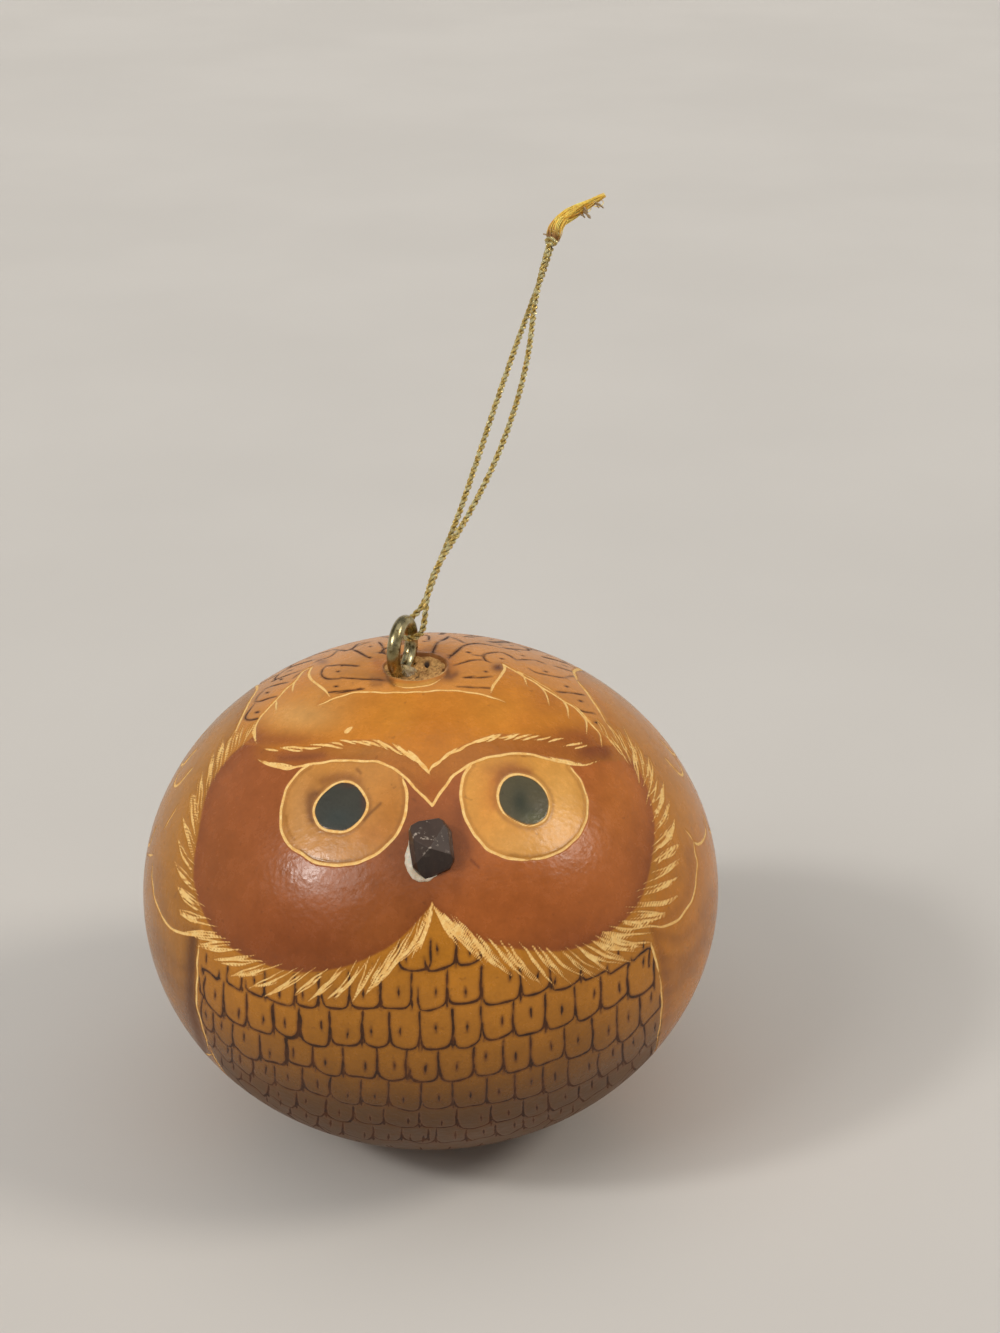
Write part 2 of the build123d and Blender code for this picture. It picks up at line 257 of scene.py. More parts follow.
line(left_eye, 0.15, 0.02, 0.02)
line(right_eye[:12], 0.155, 0.02, 0.1)
line(right_eye[11:], 0.125, 0.05, 0.02)
line(left_pupil, 0.13, 0.0, 0.0, loop=True)
line(right_pupil[11:] + right_pupil[:6], 0.135, 0.2, 0.25)
line(right_pupil[4:13], 0.08, 0.3, 0.3)
line(eyelid[2:], 0.14, 0.1, 0.0)
line(eyelid_r[:-2], 0.15, 0.0, 0.1)
line([(256.5, 759), (263, 762), (272, 765.5), (287, 768.5), (300, 766), (312, 764.5)], 0.14, 0.3, 0.5)
line([(262, 762), (270, 764.5), (282, 767), (296, 766.5)], 0.2, 0.4, 0.4)
line([(268, 761.5), (280, 763.5), (294, 765.5)], 0.1, 0.4, 0.4)
line([(550, 759.5), (562, 761.5), (576, 764.5), (588, 763.8), (600, 760.2)], 0.13, 0.1, 0.6)
line([(552, 757.5), (564, 760), (578, 763)], 0.13, 0.4, 0.4)
for x, y, dx, dy in [(262, 760, 8, 3.5), (268, 762, 8, 3), (274, 763.5, 8, 3), (280, 764.5, 8, 3), (549, 756, 9, 3.5), (556, 757.5, 9, 4), (563, 759.5, 8, 4), (569, 761, 8, 3.5), (576, 762, 8, 2.5)]:
    line([(x, y), (x + dx, y + dy)], 0.1, 0.5, 0.4)

line(left_ear, 0.16, 0.05, 0.2)
line(left_ear_in, 0.15, 0.05, 0.3)
line(right_ear, 0.15, 0.05, 0.2)
line(right_ear_in, 0.15, 0.05, 0.2)
line([(520, 670.5), (534, 679), (548, 687.5), (562, 697.5)], 0.08, 0.4, 0.4)
line([(573, 703), (583, 712.5), (592, 722)], 0.1, 0.4, 0.3)
line(forehead, 0.14, 0.1, 0.1)
for barb in [[(295.4, 679.7), (292.9, 686.3), (292, 693)], [(276.3, 699.6), (275.5, 706), (276.3, 713)], [(516.8, 670), (524, 675.4), (527.5, 686)], [(536.4, 682.5), (545.4, 691.4), (549.8, 705.7)], [(563.2, 700.4), (567.7, 707.5), (569.5, 718.2)], [(581, 712.9), (586.4, 720), (587.3, 734.3)], [(254, 727), (254.5, 735), (256.5, 743)], [(252.5, 729), (253.5, 733), (254.5, 741)]]:
    line(barb, 0.15, 0.1, 0.8)

# feathery upper brows: short overlapping strokes
for st in [
    [(205, 245), (335, 268)], [(340, 238), (480, 262), (550, 268)], [(370, 230), (470, 234), (560, 250)], [(480, 232), (600, 243), (720, 235)],
    [(600, 213), (740, 215), (830, 240)], [(700, 205), (800, 222), (905, 250)], [(780, 190), (860, 203), (900, 225)], [(850, 172), (930, 180), (1010, 207)],
    [(960, 180), (1060, 195), (1150, 225)], [(1050, 170), (1140, 195), (1240, 240)], [(1140, 160), (1220, 200), (1300, 265)], [(1190, 165), (1290, 225), (1370, 285)],
    [(1255, 195), (1340, 260), (1425, 308)], [(1320, 193), (1400, 260), (1470, 320)], [(1370, 205), (1440, 290), (1520, 360)], [(1430, 265), (1500, 320), (1568, 390)],
    [(1485, 285), (1545, 345), (1605, 410)], [(1550, 340), (1605, 400), (1655, 470)],
]:
    line(shape(st, 240, 720, 8.711), rng.uniform(0.12, 0.155), 0.45, 0.45)
for st in [
    [(-20, 40), (50, 100), (112, 168)], [(60, 70), (120, 125), (165, 180)], [(100, 110), (170, 190), (232, 268)], [(140, 170), (190, 225), (235, 270)],
    [(225, 262), (262, 195), (332, 150)], [(252, 222), (330, 150), (392, 88)], [(325, 160), (400, 100), (452, 58)], [(375, 120), (470, 75), (542, 28)],
    [(445, 82), (540, 35), (625, 2)], [(530, 40), (620, 0), (700, -22)], [(600, 10), (700, -25), (790, -48)],
]:
    line(shape(st, 400, 740, 7.84), rng.uniform(0.12, 0.15), 0.35, 0.35)
for st in [
    [(200, 690), (260, 665), (302, 640)], [(258, 682), (310, 660), (352, 632)], [(318, 667), (380, 650), (415, 632)], [(350, 672), (400, 655), (455, 630)],
    [(408, 672), (460, 650), (515, 638)], [(450, 672), (520, 655), (565, 643)], [(530, 672), (590, 660), (630, 648)], [(600, 682), (650, 668), (700, 658)],
    [(690, 707), (740, 695), (795, 680)], [(748, 718), (790, 710), (832, 694)], [(715, 700), (760, 690), (800, 688)],
]:
    line(shape(st, 440, 620, 5.6), rng.uniform(0.11, 0.145), 0.4, 0.45)

# ---------------------------------------------------------------- drawing: ruff, in tufts that share their outer tips
ruff = []


def tufts(x0, y0, s, strokes):
    for st in strokes:
        ruff.append(shape(st, x0, y0, s))


tufts(150, 700, 6.817, [
    [(690, 165), (655, 240), (622, 325)], [(640, 160), (615, 240), (590, 335)], [(595, 180), (565, 280), (540, 380)], [(575, 215), (530, 300), (500, 440)],
    [(720, 140), (690, 190), (650, 270)], [(610, 200), (590, 260), (575, 330)], [(560, 250), (530, 310), (515, 400)],
    [(497, 265), (470, 380), (437, 545)], [(499, 275), (490, 380), (464, 490)], [(492, 290), (468, 360), (450, 450)],
    [(430, 360), (395, 490), (378, 665)], [(432, 365), (418, 480), (402, 605)], [(425, 400), (405, 470), (390, 560)],
    [(355, 475), (335, 620), (318, 820)], [(352, 500), (352, 620), (342, 780)], [(350, 520), (338, 600), (330, 700)],
    [(292, 630), (278, 740), (298, 900)], [(294, 640), (305, 740), (328, 830)], [(290, 700), (288, 800), (312, 935)], [(285, 690), (275, 760), (290, 860)],
    [(220, 790), (240, 900), (283, 1055)], [(222, 800), (262, 890), (310, 1003)], [(224, 820), (255, 910), (295, 1060)],
    [(188, 942), (212, 1050), (282, 1175)], [(192, 950), (235, 1040), (298, 1120)], [(200, 1000), (230, 1080), (290, 1160)],
    [(163, 1098), (212, 1195), (325, 1332)], [(170, 1105), (228, 1165), (308, 1252)], [(180, 1140), (235, 1210), (315, 1300)],
    [(178, 1260), (240, 1350), (352, 1447)], [(183, 1265), (262, 1335), (368, 1408)], [(195, 1300), (235, 1370), (310, 1430)], [(190, 1290), (260, 1360), (330, 1400)],
    [(188, 1430), (270, 1500), (442, 1542)], [(200, 1428), (300, 1458), (405, 1496)], [(210, 1455), (290, 1500), (390, 1530)],
])
tufts(170, 900, 5.807, [
    [(52, 62), (120, 95), (215, 106)], [(60, 66), (130, 118), (250, 150)], [(75, 85), (140, 120), (200, 135)],
    [(85, 185), (170, 180), (262, 190)], [(98, 205), (200, 214), (322, 222)], [(120, 195), (210, 200), (290, 210)], [(150, 218), (230, 235), (345, 246)],
    [(160, 265), (250, 280), (408, 290)], [(185, 260), (260, 266), (345, 260)], [(200, 285), (300, 298), (395, 283)], [(170, 255), (240, 250), (320, 242)],
    [(258, 345), (370, 333), (488, 320)], [(262, 350), (400, 350), (543, 355)], [(300, 365), (400, 372), (485, 362)], [(270, 350), (350, 345), (440, 340)],
    [(353, 440), (460, 400), (552, 372)], [(360, 442), (480, 424), (640, 375)], [(400, 442), (490, 425), (565, 398)],
    [(462, 510), (560, 460), (658, 410)], [(468, 508), (600, 468), (732, 398)], [(500, 508), (600, 474), (655, 440)],
    [(553, 558), (660, 490), (762, 406)], [(560, 556), (690, 500), (832, 400)], [(590, 545), (680, 490), (760, 440)],
    [(723, 550), (800, 480), (905, 406)], [(727, 552), (830, 488), (885, 423)],
    [(803, 590), (900, 490), (1012, 403)], [(808, 588), (880, 520), (988, 393)], [(830, 570), (910, 500), (985, 430)],
    [(912, 575), (1010, 480), (1078, 358)], [(918, 573), (1040, 480), (1102, 378)], [(960, 575), (1060, 470), (1132, 368)],
    [(1058, 590), (1110, 470), (1157, 328)], [(1062, 588), (1140, 470), (1217, 333)],
    [(1138, 545), (1210, 420), (1292, 288)], [(1145, 545), (1230, 420), (1332, 238)],
    [(1163, 525), (1290, 380), (1402, 188)], [(1200, 495), (1320, 340), (1422, 148)], [(1190, 480), (1300, 330), (1380, 200)],
    [(1268, 412), (1400, 260), (1452, 108)], [(1290, 400), (1420, 240), (1482, 78)],
    [(1345, 352), (1440, 220), (1502, 58)], [(1400, 340), (1460, 220), (1508, 98)], [(1430, 300), (1490, 180), (1520, 38)],
])
tufts(420, 900, 5.807, [
    [(70, 15), (42, 150), (3, 290)], [(64, 50), (25, 180), (-3, 245)], [(68, 20), (50, 100), (30, 180)],
    [(72, 20), (150, 170), (232, 282)], [(80, 35), (180, 180), (302, 302)], [(100, 50), (220, 190), (367, 367)], [(140, 80), (250, 200), (352, 332)], [(75, 20), (120, 120), (168, 212)], [(180, 90), (260, 190), (332, 292)],
    [(120, 90), (220, 220), (330, 340)], [(90, 60), (160, 180), (210, 240)],
    [(208, 100), (300, 220), (382, 352)], [(278, 163), (360, 290), (492, 412)], [(330, 198), (420, 320), (522, 420)], [(300, 190), (400, 335), (530, 442)],
    [(320, 215), (390, 310), (470, 400)], [(388, 213), (500, 340), (632, 482)], [(410, 230), (520, 370), (602, 452)],
    [(468, 233), (570, 370), (702, 492)], [(518, 253), (600, 370), (692, 472)],
    [(578, 243), (680, 370), (782, 502)], [(650, 263), (720, 360), (802, 442)], [(600, 268), (690, 400), (770, 490)],
    [(688, 268), (780, 390), (882, 492)], [(735, 278), (830, 380), (942, 442)], [(740, 290), (850, 398), (950, 432)],
    [(818, 288), (920, 390), (1047, 467)], [(850, 273), (950, 360), (1052, 410)], [(840, 300), (940, 385), (1030, 440)],
    [(908, 263), (1000, 350), (1092, 412)], [(930, 280), (1010, 345), (1080, 390)],
    [(958, 253), (1090, 330), (1217, 360)], [(1000, 238), (1090, 300), (1182, 332)], [(985, 275), (1080, 330), (1150, 345)],
    [(1028, 213), (1130, 265), (1242, 290)], [(1040, 240), (1150, 288), (1250, 300)],
    [(1070, 188), (1200, 243), (1337, 245)], [(1060, 205), (1180, 258), (1290, 270)],
    [(1108, 153), (1220, 170), (1332, 150)], [(1100, 183), (1200, 200), (1332, 190)],
    [(1188, 120), (1300, 130), (1382, 108)], [(1180, 140), (1280, 150), (1350, 130)],
])
tufts(560, 740, 6.533, [
    [(335, -30), (385, 40), (452, 147)], [(385, -30), (430, 60), (472, 132)], [(325, -10), (390, 70), (440, 112)], [(300, -40), (350, 20), (410, 90)],
    [(500, 18), (505, 120), (522, 272)], [(505, 25), (545, 110), (547, 242)], [(480, 55), (490, 150), (512, 232)], [(470, 10), (500, 80), (530, 180)], [(450, -20), (480, 60), (500, 140)],
    [(585, 103), (580, 200), (550, 302)], [(590, 110), (612, 220), (572, 402)], [(588, 130), (602, 260), (590, 332)],
    [(640, 243), (632, 330), (600, 422)], [(642, 260), (620, 320), (580, 370)],
    [(682, 273), (672, 400), (612, 527)], [(680, 285), (650, 370), (600, 412)], [(684, 290), (682, 390), (640, 502)], [(680, 320), (655, 420), (625, 480)],
    [(720, 398), (702, 490), (625, 607)], [(718, 410), (682, 500), (650, 570)], [(715, 440), (690, 520), (640, 580)],
    [(757, 513), (722, 590), (610, 687)], [(755, 520), (732, 620), (600, 752)], [(750, 560), (722, 640), (670, 700)], [(745, 550), (700, 640), (630, 720)],
    [(787, 678), (722, 720), (600, 802)], [(783, 685), (740, 750), (630, 792)], [(770, 700), (700, 760), (640, 810)],
    [(787, 773), (722, 820), (608, 867)], [(780, 785), (710, 862), (560, 937)], [(775, 800), (700, 850), (640, 880)],
    [(782, 888), (692, 930), (523, 982)], [(775, 895), (700, 962), (525, 1022)], [(760, 905), (680, 950), (600, 990)],
    [(777, 1020), (662, 1055), (523, 1060)], [(770, 1025), (690, 1077), (440, 1092)], [(740, 1045), (650, 1070), (560, 1078)],
    [(692, 1140), (590, 1120), (450, 1127)], [(690, 1130), (600, 1152), (470, 1167)], [(682, 1150), (560, 1180), (403, 1187)], [(670, 1145), (590, 1140), (510, 1145)],
    [(328, 1215), (450, 1234), (642, 1217)], [(288, 1250), (400, 1277), (592, 1262)], [(238, 1280), (400, 1332), (592, 1325)], [(208, 1310), (330, 1352), (482, 1362)], [(220, 1320), (340, 1372), (502, 1355)],
    [(148, 1325), (300, 1412), (452, 1447)], [(170, 1340), (290, 1402), (422, 1432)], [(103, 1345), (250, 1432), (402, 1462)],
])
tufts(440, 620, 5.6, [
    [(878, 548), (920, 600), (962, 685)], [(918, 555), (970, 620), (1002, 695)], [(948, 585), (1000, 650), (1052, 745)], [(988, 600), (1030, 680), (1072, 795)],
    [(1028, 590), (1070, 680), (1092, 765)], [(1045, 670), (1090, 740), (1112, 855)], [(1098, 695), (1130, 780), (1150, 885)], [(1085, 750), (1110, 820), (1122, 900)], [(1168, 765), (1180, 830), (1200, 900)],
])
for st in ruff:
    st = np.array(st, float)
    st[-1] += (st[-1] - st[-2]) * 0.10
    st[0] += (st[0] - st[1]) * 0.05
    line(st, rng.uniform(0.062, 0.095), 0.35, 0.5)
    # a finer cut that spreads away from it
    d = st[-1] - st[0]
    nrm = np.array([-d[1], d[0]]) / np.linalg.norm(d)
    c = smooth(st, 2.0)
    t = np.linspace(0, 1, len(c))[:, None]
    away = rng.choice([-1, 1]) * rng.uniform(2.6, 4.0)
    i, j = int(rng.uniform(0.0, 0.25) * (len(c) - 1)), int(rng.uniform(0.65, 0.9) * (len(c) - 1))
    if j - i > 2 and rng.random() < 0.6:
        line((c + nrm * away * (0.35 + 0.65 * t))[i : j + 1 : max(1, (j - i) // 3)], rng.uniform(0.04, 0.065), 0.4, 0.6)

# ---------------------------------------------------------------- drawing: wings in front
line([(151.7, 862), (151.7, 881), (155, 901), (162.5, 918), (171.2, 929), (184.2, 933.5), (199, 936)], 0.15, 0.15, 0.05)
line([(146.5, 854), (150, 855.4), (153, 855)], 0.14, 0.2, 0.3)
line([(179, 803), (170, 818), (162, 832)], 0.1, 0.4, 0.4)
line([(694, 841), (696, 852), (698, 864), (696, 887), (693, 900), (687, 909), (681, 918), (674, 923), (661, 927), (648, 925)], 0.15, 0.1, 0.2)
line([(703.5, 818), (706.5, 831), (704.5, 840), (699, 844), (694, 841)], 0.14, 0.3, 0.1)
line([(685, 828), (690, 834), (694, 841)], 0.1, 0.4, 0.2)
line([(199, 944), (197, 960), (197, 977), (196, 1003), (202, 1027), (209, 1051)], 0.13, 0.1, 0.2)
line([(204, 1053), (208, 1055), (212, 1054.6)], 0.13, 0.3, 0.3)
line([(651, 943), (654, 951), (656, 959), (660, 974)], 0.15, 0.15, 0.3)
line([(660, 974), (662, 992), (662, 1010), (659, 1032), (655, 1052)], 0.11, 0.2, 0.3)
line([(251, 698), (245, 710), (239, 723), (234, 733)], 0.17, 0.2, 0.3)
line([(577, 679), (588, 693), (597, 706), (607, 722)], 0.17, 0.15, 0.3)

line([(392.5, 681.5), (396, 684), (400, 685.2), (406, 685.9), (416, 685.4), (427.4, 683.6), (433, 681.5), (437.6, 679), (443.3, 675.3)], 0.13, 0.3, 0.4, shake=0.15)
# a chip in the skin over the left brow
line([(345, 733), (348.5, 729), (352.5, 726)], 0.3, 0.2, 0.4, shake=0.1)

# ---------------------------------------------------------------- drawing: breast scales, row by row
# each scale: left, right, bottom, and the middle of the burnt dash, in two enlarged drawings
rows_left = [
    [(1330, 1515, 410, 1370, 340)],
    [(190, 285, 435, 210, 340), (330, 415, 510, 335, 400), (440, 548, 552, 490, 465), (550, 722, 605, 635, 540), (730, 862, 625, 770, 550), (885, 1038, 635, 957, 545), (1045, 1225, 635, 1122, 545), (1215, 1400, 635, 1327, 535)],
    [(172, 200, 560, 186, 410), (200, 307, 648, 262, 550), (315, 443, 715, 398, 660), (450, 600, 770, 542, 695), (603, 748, 790, 665, 715), (760, 925, 850, 877, 730), (937, 1112, 850, 1030, 780), (1122, 1275, 855, 1168, 765), (1280, 1447, 868, 1335, 765)],
    [(180, 250, 748, 207, 670), (255, 365, 825, 298, 730), (365, 522, 905, 428, 795), (527, 677, 955, 578, 895), (680, 828, 965, 715, 890), (838, 1000, 1015, 900, 945), (1008, 1197, 1040, 1133, 970), (1207, 1373, 1050, 1303, 965), (1383, 1558, 1058, 1485, 980)],
    [(190, 257, 832, 205, 770), (262, 358, 912, 335, 870), (360, 477, 992, 405, 925), (483, 608, 1060, 555, 990), (610, 768, 1100, 682, 1035), (775, 930, 1135, 855, 1075), (932, 1107, 1185, 1030, 1140), (1110, 1265, 1200, 1188, 1145), (1270, 1457, 1225, 1355, 1165)],
    [(300, 412, 1010, 367, 970), (415, 567, 1100, 465, 1035), (572, 732, 1182, 628, 1130), (738, 902, 1242, 787, 1170), (905, 1062, 1285, 980, 1240), (1072, 1240, 1305, 1160, 1270), (1243, 1445, 1322, 1383, 1290)],
    [(560, 700, 1215, 640, 1180), (700, 856, 1285, 790, 1255), (860, 1003, 1345, 930, 1300), (1008, 1178, 1385, 1130, 1370), (1180, 1345, 1400, 1268, 1380), (1348, 1500, 1402, 1470, 1390)],
]
rows_right = [
    [(30, 207, 405, 100, 285), (213, 357, 372, 290, 300)],
    [(-12, 157, 640, 92, 535), (163, 357, 605, 265, 535), (363, 582, 605, 525, 445), (588, 757, 545, 685, 440), (765, 935, 508, 785, 475), (945, 1090, 445, 1045, 352), (1090, 1222, 400, 1155, 305), (1228, 1338, 320, 1300, 270)],
    [(5, 190, 870, 92, 745), (197, 355, 855, 275, 740), (367, 543, 805, 478, 705), (548, 728, 785, 645, 655), (733, 903, 740, 827, 640), (908, 1050, 685, 1015, 545), (1054, 1208, 607, 1160, 510), (1210, 1362, 548, 1300, 360)],
    [(-55, 107, 1062, 30, 985), (117, 312, 1052, 215, 970), (318, 484, 1022, 383, 910), (490, 642, 1003, 558, 915), (648, 838, 955, 765, 850), (843, 1003, 912, 920, 815), (1008, 1147, 860, 1098, 760), (1148, 1278, 797, 1212, 680), (1280, 1400, 690, 1343, 565)],
    [(12, 192, 1217, 110, 1155), (198, 387, 1208, 295, 1140), (388, 552, 1182, 460, 1120), (555, 717, 1152, 650, 1060), (720, 863, 1112, 787, 1030), (866, 1037, 1062, 985, 970), (1040, 1178, 1002, 1122, 885), (1183, 1303, 917, 1240, 825), (1306, 1412, 822, 1365, 740)],
    [(2, 217, 1328, 127, 1300), (223, 412, 1325, 355, 1270), (418, 602, 1282, 517, 1240), (603, 748, 1252, 680, 1210), (752, 924, 1202, 845, 1145), (928, 1092, 1135, 1000, 1070), (1096, 1235, 1040, 1150, 970), (1238, 1345, 950, 1275, 885)],
    [(-60, 92, 1412, 20, 1390), (95, 270, 1412, 205, 1370), (275, 440, 1390, 370, 1350), (445, 600, 1355, 550, 1310), (603, 745, 1310, 660, 1280), (750, 890, 1265, 820, 1225)],
]


def breast(rows, x0, y0, s, joined=False):
    before = None
    for row in rows:
        row = np.array(row, float)
        mid = (row[:, 0] + row[:, 1]) / 2
        for k, (xl, xr, yb, xd, yd) in enumerate(row):
            lo, hi = max(k - 1, 0), min(k + 1, len(row) - 1)
            slope = (row[hi, 2] - row[lo, 2]) / (mid[hi] - mid[lo]) if hi > lo else 0.0
            w = xr - xl
            bl, br = yb - slope * w / 2, yb + slope * w / 2
            if before is None:
                tl, tr = bl - 190, br - 190
            else:
                tl, tr = np.interp([xl, xr], before[0], before[1])
            hl, hr = max(bl - tl, 30), max(br - tr, 30)
            j = lambda a: rng.normal(0, a)
            lone = (k == 0 and not joined) or (k > 0 and xl - row[k - 1, 1] > 25)
            left = [(xl + j(3), tl + 4), (xl + j(3), tl + 0.5 * hl)] if lone else [(xl - 3 + j(2), bl - rng.uniform(0.4, 0.62) * hl)]
            path = left + [
                (xl + 0.02 * w, bl - 0.2 * hl), (xl + 0.14 * w, bl - 0.05 * hl),
                (xl + 0.5 * w, yb + j(4)), (xr - 0.14 * w, br - 0.05 * hr), (xr - 0.02 * w, br - 0.2 * hr), (xr + j(3), tr + 0.5 * hr), (xr + j(3), tr + 4),
            ]
            line(shape(path, x0, y0, s), rng.uniform(0.075, 0.125), 0.15, 0.03, field=burn, wobble=0.35, shake=0.2)
            # the iron rests a moment where the lines meet
            if rng.random() < 0.8:
                line(shape([(xr + 1 + j(2), br - 0.3 * hr), (xr + 1 + j(2), br - 0.1 * hr), (xr + 2, br + 0.02 * hr)], x0, y0, s), rng.uniform(0.1, 0.19), 0.6, 0.5, field=burn, shake=0.1)
            if rng.random() < 0.5:
                line(shape([(xl + 0.04 * w, bl - 0.12 * hl), (xl + 0.02 * w, bl)], x0, y0, s), rng.uniform(0.1, 0.17), 0.5, 0.5, field=burn, shake=0.1)
            tall = rng.uniform(24, 31) * (0.75 if yb > 1150 else 1.0)
            line(shape([(xd + j(2), yd - tall), (xd, yd), (xd + j(2), yd + tall)], x0, y0, s), rng.uniform(0.1, 0.135), 0.3, 0.35, field=burn, shake=0.05)
        before = (mid, row[:, 2])


breast(rows_left, 170, 900, 5.807)
breast(rows_right, 420, 900, 5.807, joined=True)
# one heavy double line on the left
line(shape([(745, 640), (752, 700), (748, 760), (730, 795), (690, 806), (662, 795)], 170, 900, 5.807), 0.24, 0.2, 0.3, field=burn)
line(shape([(590, 610), (598, 690), (604, 760)], 170, 900, 5.807), 0.2, 0.2, 0.3, field=burn)
line(shape([(665, 800), (680, 880), (672, 940), (640, 958)], 170, 900, 5.807), 0.2, 0.2, 0.3, field=burn)

# ---------------------------------------------------------------- drawing: scales round the stem, as seen from in front
for pts, h in [
    (shape([(0, 330), (60, 335), (130, 320), (200, 262), (300, 240)], 340, 620, 11.2), 0.10),
    (shape([(130, 320), (200, 350), (270, 385), (335, 412)], 340, 620, 11.2), 0.12),
    (shape([(425, 235), (470, 275), (500, 350)], 340, 620, 11.2), 0.12),
    (shape([(0, 500), (90, 503), (190, 507)], 340, 620, 11.2), 0.08),
    (shape([(0, 640), (200, 650), (350, 648), (490, 652)], 340, 620, 11.2), 0.07),
    (shape([(-40, 815), (60, 800), (150, 782), (262, 765)], 340, 620, 11.2), 0.09),
    (shape([(1030, 350), (1060, 290), (1095, 235), (1160, 215), (1225, 178)], 340, 620, 11.2), 0.12),
    (shape([(1215, 392), (1270, 362), (1330, 320), (1400, 270), (1480, 255), (1570, 250)], 340, 620, 11.2), 0.11),
    (shape([(1375, 462), (1440, 442), (1570, 434)], 340, 620, 11.2), 0.08),
    (shape([(1390, 634), (1440, 630), (1500, 620)], 340, 620, 11.2), 0.1),
    (shape([(1230, 180), (1300, 200), (1400, 250)], 340, 620, 11.2), 0.07),
    (shape([(690, 255), (730, 235), (790, 215), (830, 180)], 200, 620, 6.03), 0.09),
    (shape([(800, 175), (880, 182), (930, 160), (1030, 125)], 200, 620, 6.03), 0.09),
    (shape([(760, 275), (735, 300), (730, 325), (760, 352), (850, 350)], 200, 620, 6.03), 0.08),
    (shape([(760, 275), (850, 268), (950, 270)], 200, 620, 6.03), 0.08),
    (shape([(740, 440), (790, 432), (900, 422), (985, 414)], 200, 620, 6.03), 0.08),
    (shape([(380, 422), (420, 402), (480, 385), (530, 375)], 200, 620, 6.03), 0.11),
    (shape([(330, 490), (350, 492), (410, 472), (462, 460)], 200, 620, 6.03), 0.13),
    (shape([(385, 425), (350, 455), (330, 490)], 200, 620, 6.03), 0.08),
    (shape([(330, 500), (290, 555), (272, 590), (300, 602), (365, 590)], 200, 620, 6.03), 0.1),
    (shape([(560, 350), (600, 320), (650, 300)], 200, 620, 6.03), 0.07),
    (shape([(0, 105), (25, 102), (50, 84)], 440, 620, 5.6), 0.1),
    (shape([(50, 203), (80, 175), (120, 145), (160, 132), (230, 128), (270, 135), (320, 146)], 440, 620, 5.6), 0.1),
    (shape([(185, 190), (235, 196), (255, 185), (300, 178), (345, 178), (390, 195), (430, 222)], 440, 620, 5.6), 0.09),
    (shape([(255, 190), (245, 205), (260, 225), (285, 235)], 440, 620, 5.6), 0.08),
    (shape([(80, 242), (130, 228), (190, 218), (245, 218)], 440, 620, 5.6), 0.09),
    (shape([(140, 316), (200, 320), (290, 314)], 440, 620, 5.6), 0.08),
    (shape([(100, 370), (200, 376), (290, 380)], 440, 620, 5.6), 0.06),
    (shape([(430, 222), (470, 218), (530, 222), (590, 242)], 440, 620, 5.6), 0.09),
    (shape([(500, 270), (540, 290), (600, 305), (700, 322)], 440, 620, 5.6), 0.07),
    (shape([(655, 398), (700, 402), (750, 408), (810, 416)], 440, 620, 5.6), 0.09),
    (shape([(750, 478), (800, 508), (868, 520)], 440, 620, 5.6), 0.09),
    (shape([(330, 150), (400, 158), (450, 175)], 440, 620, 5.6), 0.06),
    (shape([(700, 322), (750, 312), (800, 350)], 440, 620, 5.6), 0.06),
]:
    line(pts, 0.8 * h, 0.2, 0.12, field=burn, wobble=0.5, shake=0.12)
for x, y, dx in [(370.4, 645.9, 1.5), (424.6, 640.2, 1.4), (342, 665, 1.6), (356, 665, 2.2), (338, 671, 1.6), (336, 686, 1.7), (322, 693, 1.4), (360, 688.5, 3), (369, 656, 2), (267, 692.5, 1.6), (281, 679, 1.5), (257, 712, 2), (427, 663, 1.2), (451, 653, 3), (433, 650, 1.6), (468, 651, 1.5), (502, 658, 1.8), (546, 671, 2), (567, 686, 2), (581, 700.5, 2.2), (597, 722, 2), (466, 676.5, 2.5), (486, 671, 1.4), (523, 655, 1.6), (469.5, 651.5, 1.2), (500, 644, 1.3), (455, 638, 1.2)]:
    line([(x - dx, y - 0.2), (x, y), (x + dx, y + 0.2)], 0.14, 0.3, 0.3, field=burn, shake=0.05)

# ---------------------------------------------------------------- drawing: sides and back
left_wing = [(-49.6, 14), (-49.8, 3), (-50.4, -8), (-51, -18.7), (-54, -31), (-64, -44), (-80, -53), (-94, -57), (-110, -50), (-124, -33), (-133, -11), (-137, 11), (-134, 30), (-122, 45), (-108, 51.5), (-96, 52), (-85, 50.5), (-74, 44), (-60, 34), (-53, 23)]
right_wing = [(45.8, 14), (47.5, 2), (48.9, -7.3), (52, -17), (56, -27), (65, -41), (80, -52), (94, -57), (110, -50), (125, -32), (135, -9), (139, 12), (135, 33), (124, 49), (112, 57), (101, 59), (90, 56.5), (78, 52), (62, 38), (53, 24)]


def poly_sd(poly, q):
    """Distance to a closed outline, positive inside."""
    poly = np.asarray(poly, float)
    best = np.full(len(q), 1e9)
    inside = np.zeros(len(q), bool)
    for a, b in zip(poly, np.roll(poly, -1, 0)):
        ab, v = b - a, q - a
        t = np.clip((v @ ab) / (ab @ ab), 0, 1)
        e = v - t[:, None] * ab
        best = np.minimum(best, (e * e).sum(1))
        crosses = ((a[1] > q[:, 1]) != (b[1] > q[:, 1])) & (
            q[:, 0] < (b[0] - a[0]) * (q[:, 1] - a[1]) / (b[1] - a[1] + 1e-12) + a[0]
        )
        inside ^= crosses
    return np.where(inside, 1, -1) * np.sqrt(best)


def chart(lon, lat):
    """Longitude and latitude on a flat sheet that is near to true millimetres away from the top."""
    return np.stack([np.asarray(lon) * 0.62, np.asarray(lat) * 0.58], -1)


def wing_sd(lon, lat):
    q = chart(lon, lat)
    return np.maximum(
        poly_sd(chart(*np.array(left_wing).T), q), poly_sd(chart(*np.array(right_wing).T), q)
    )


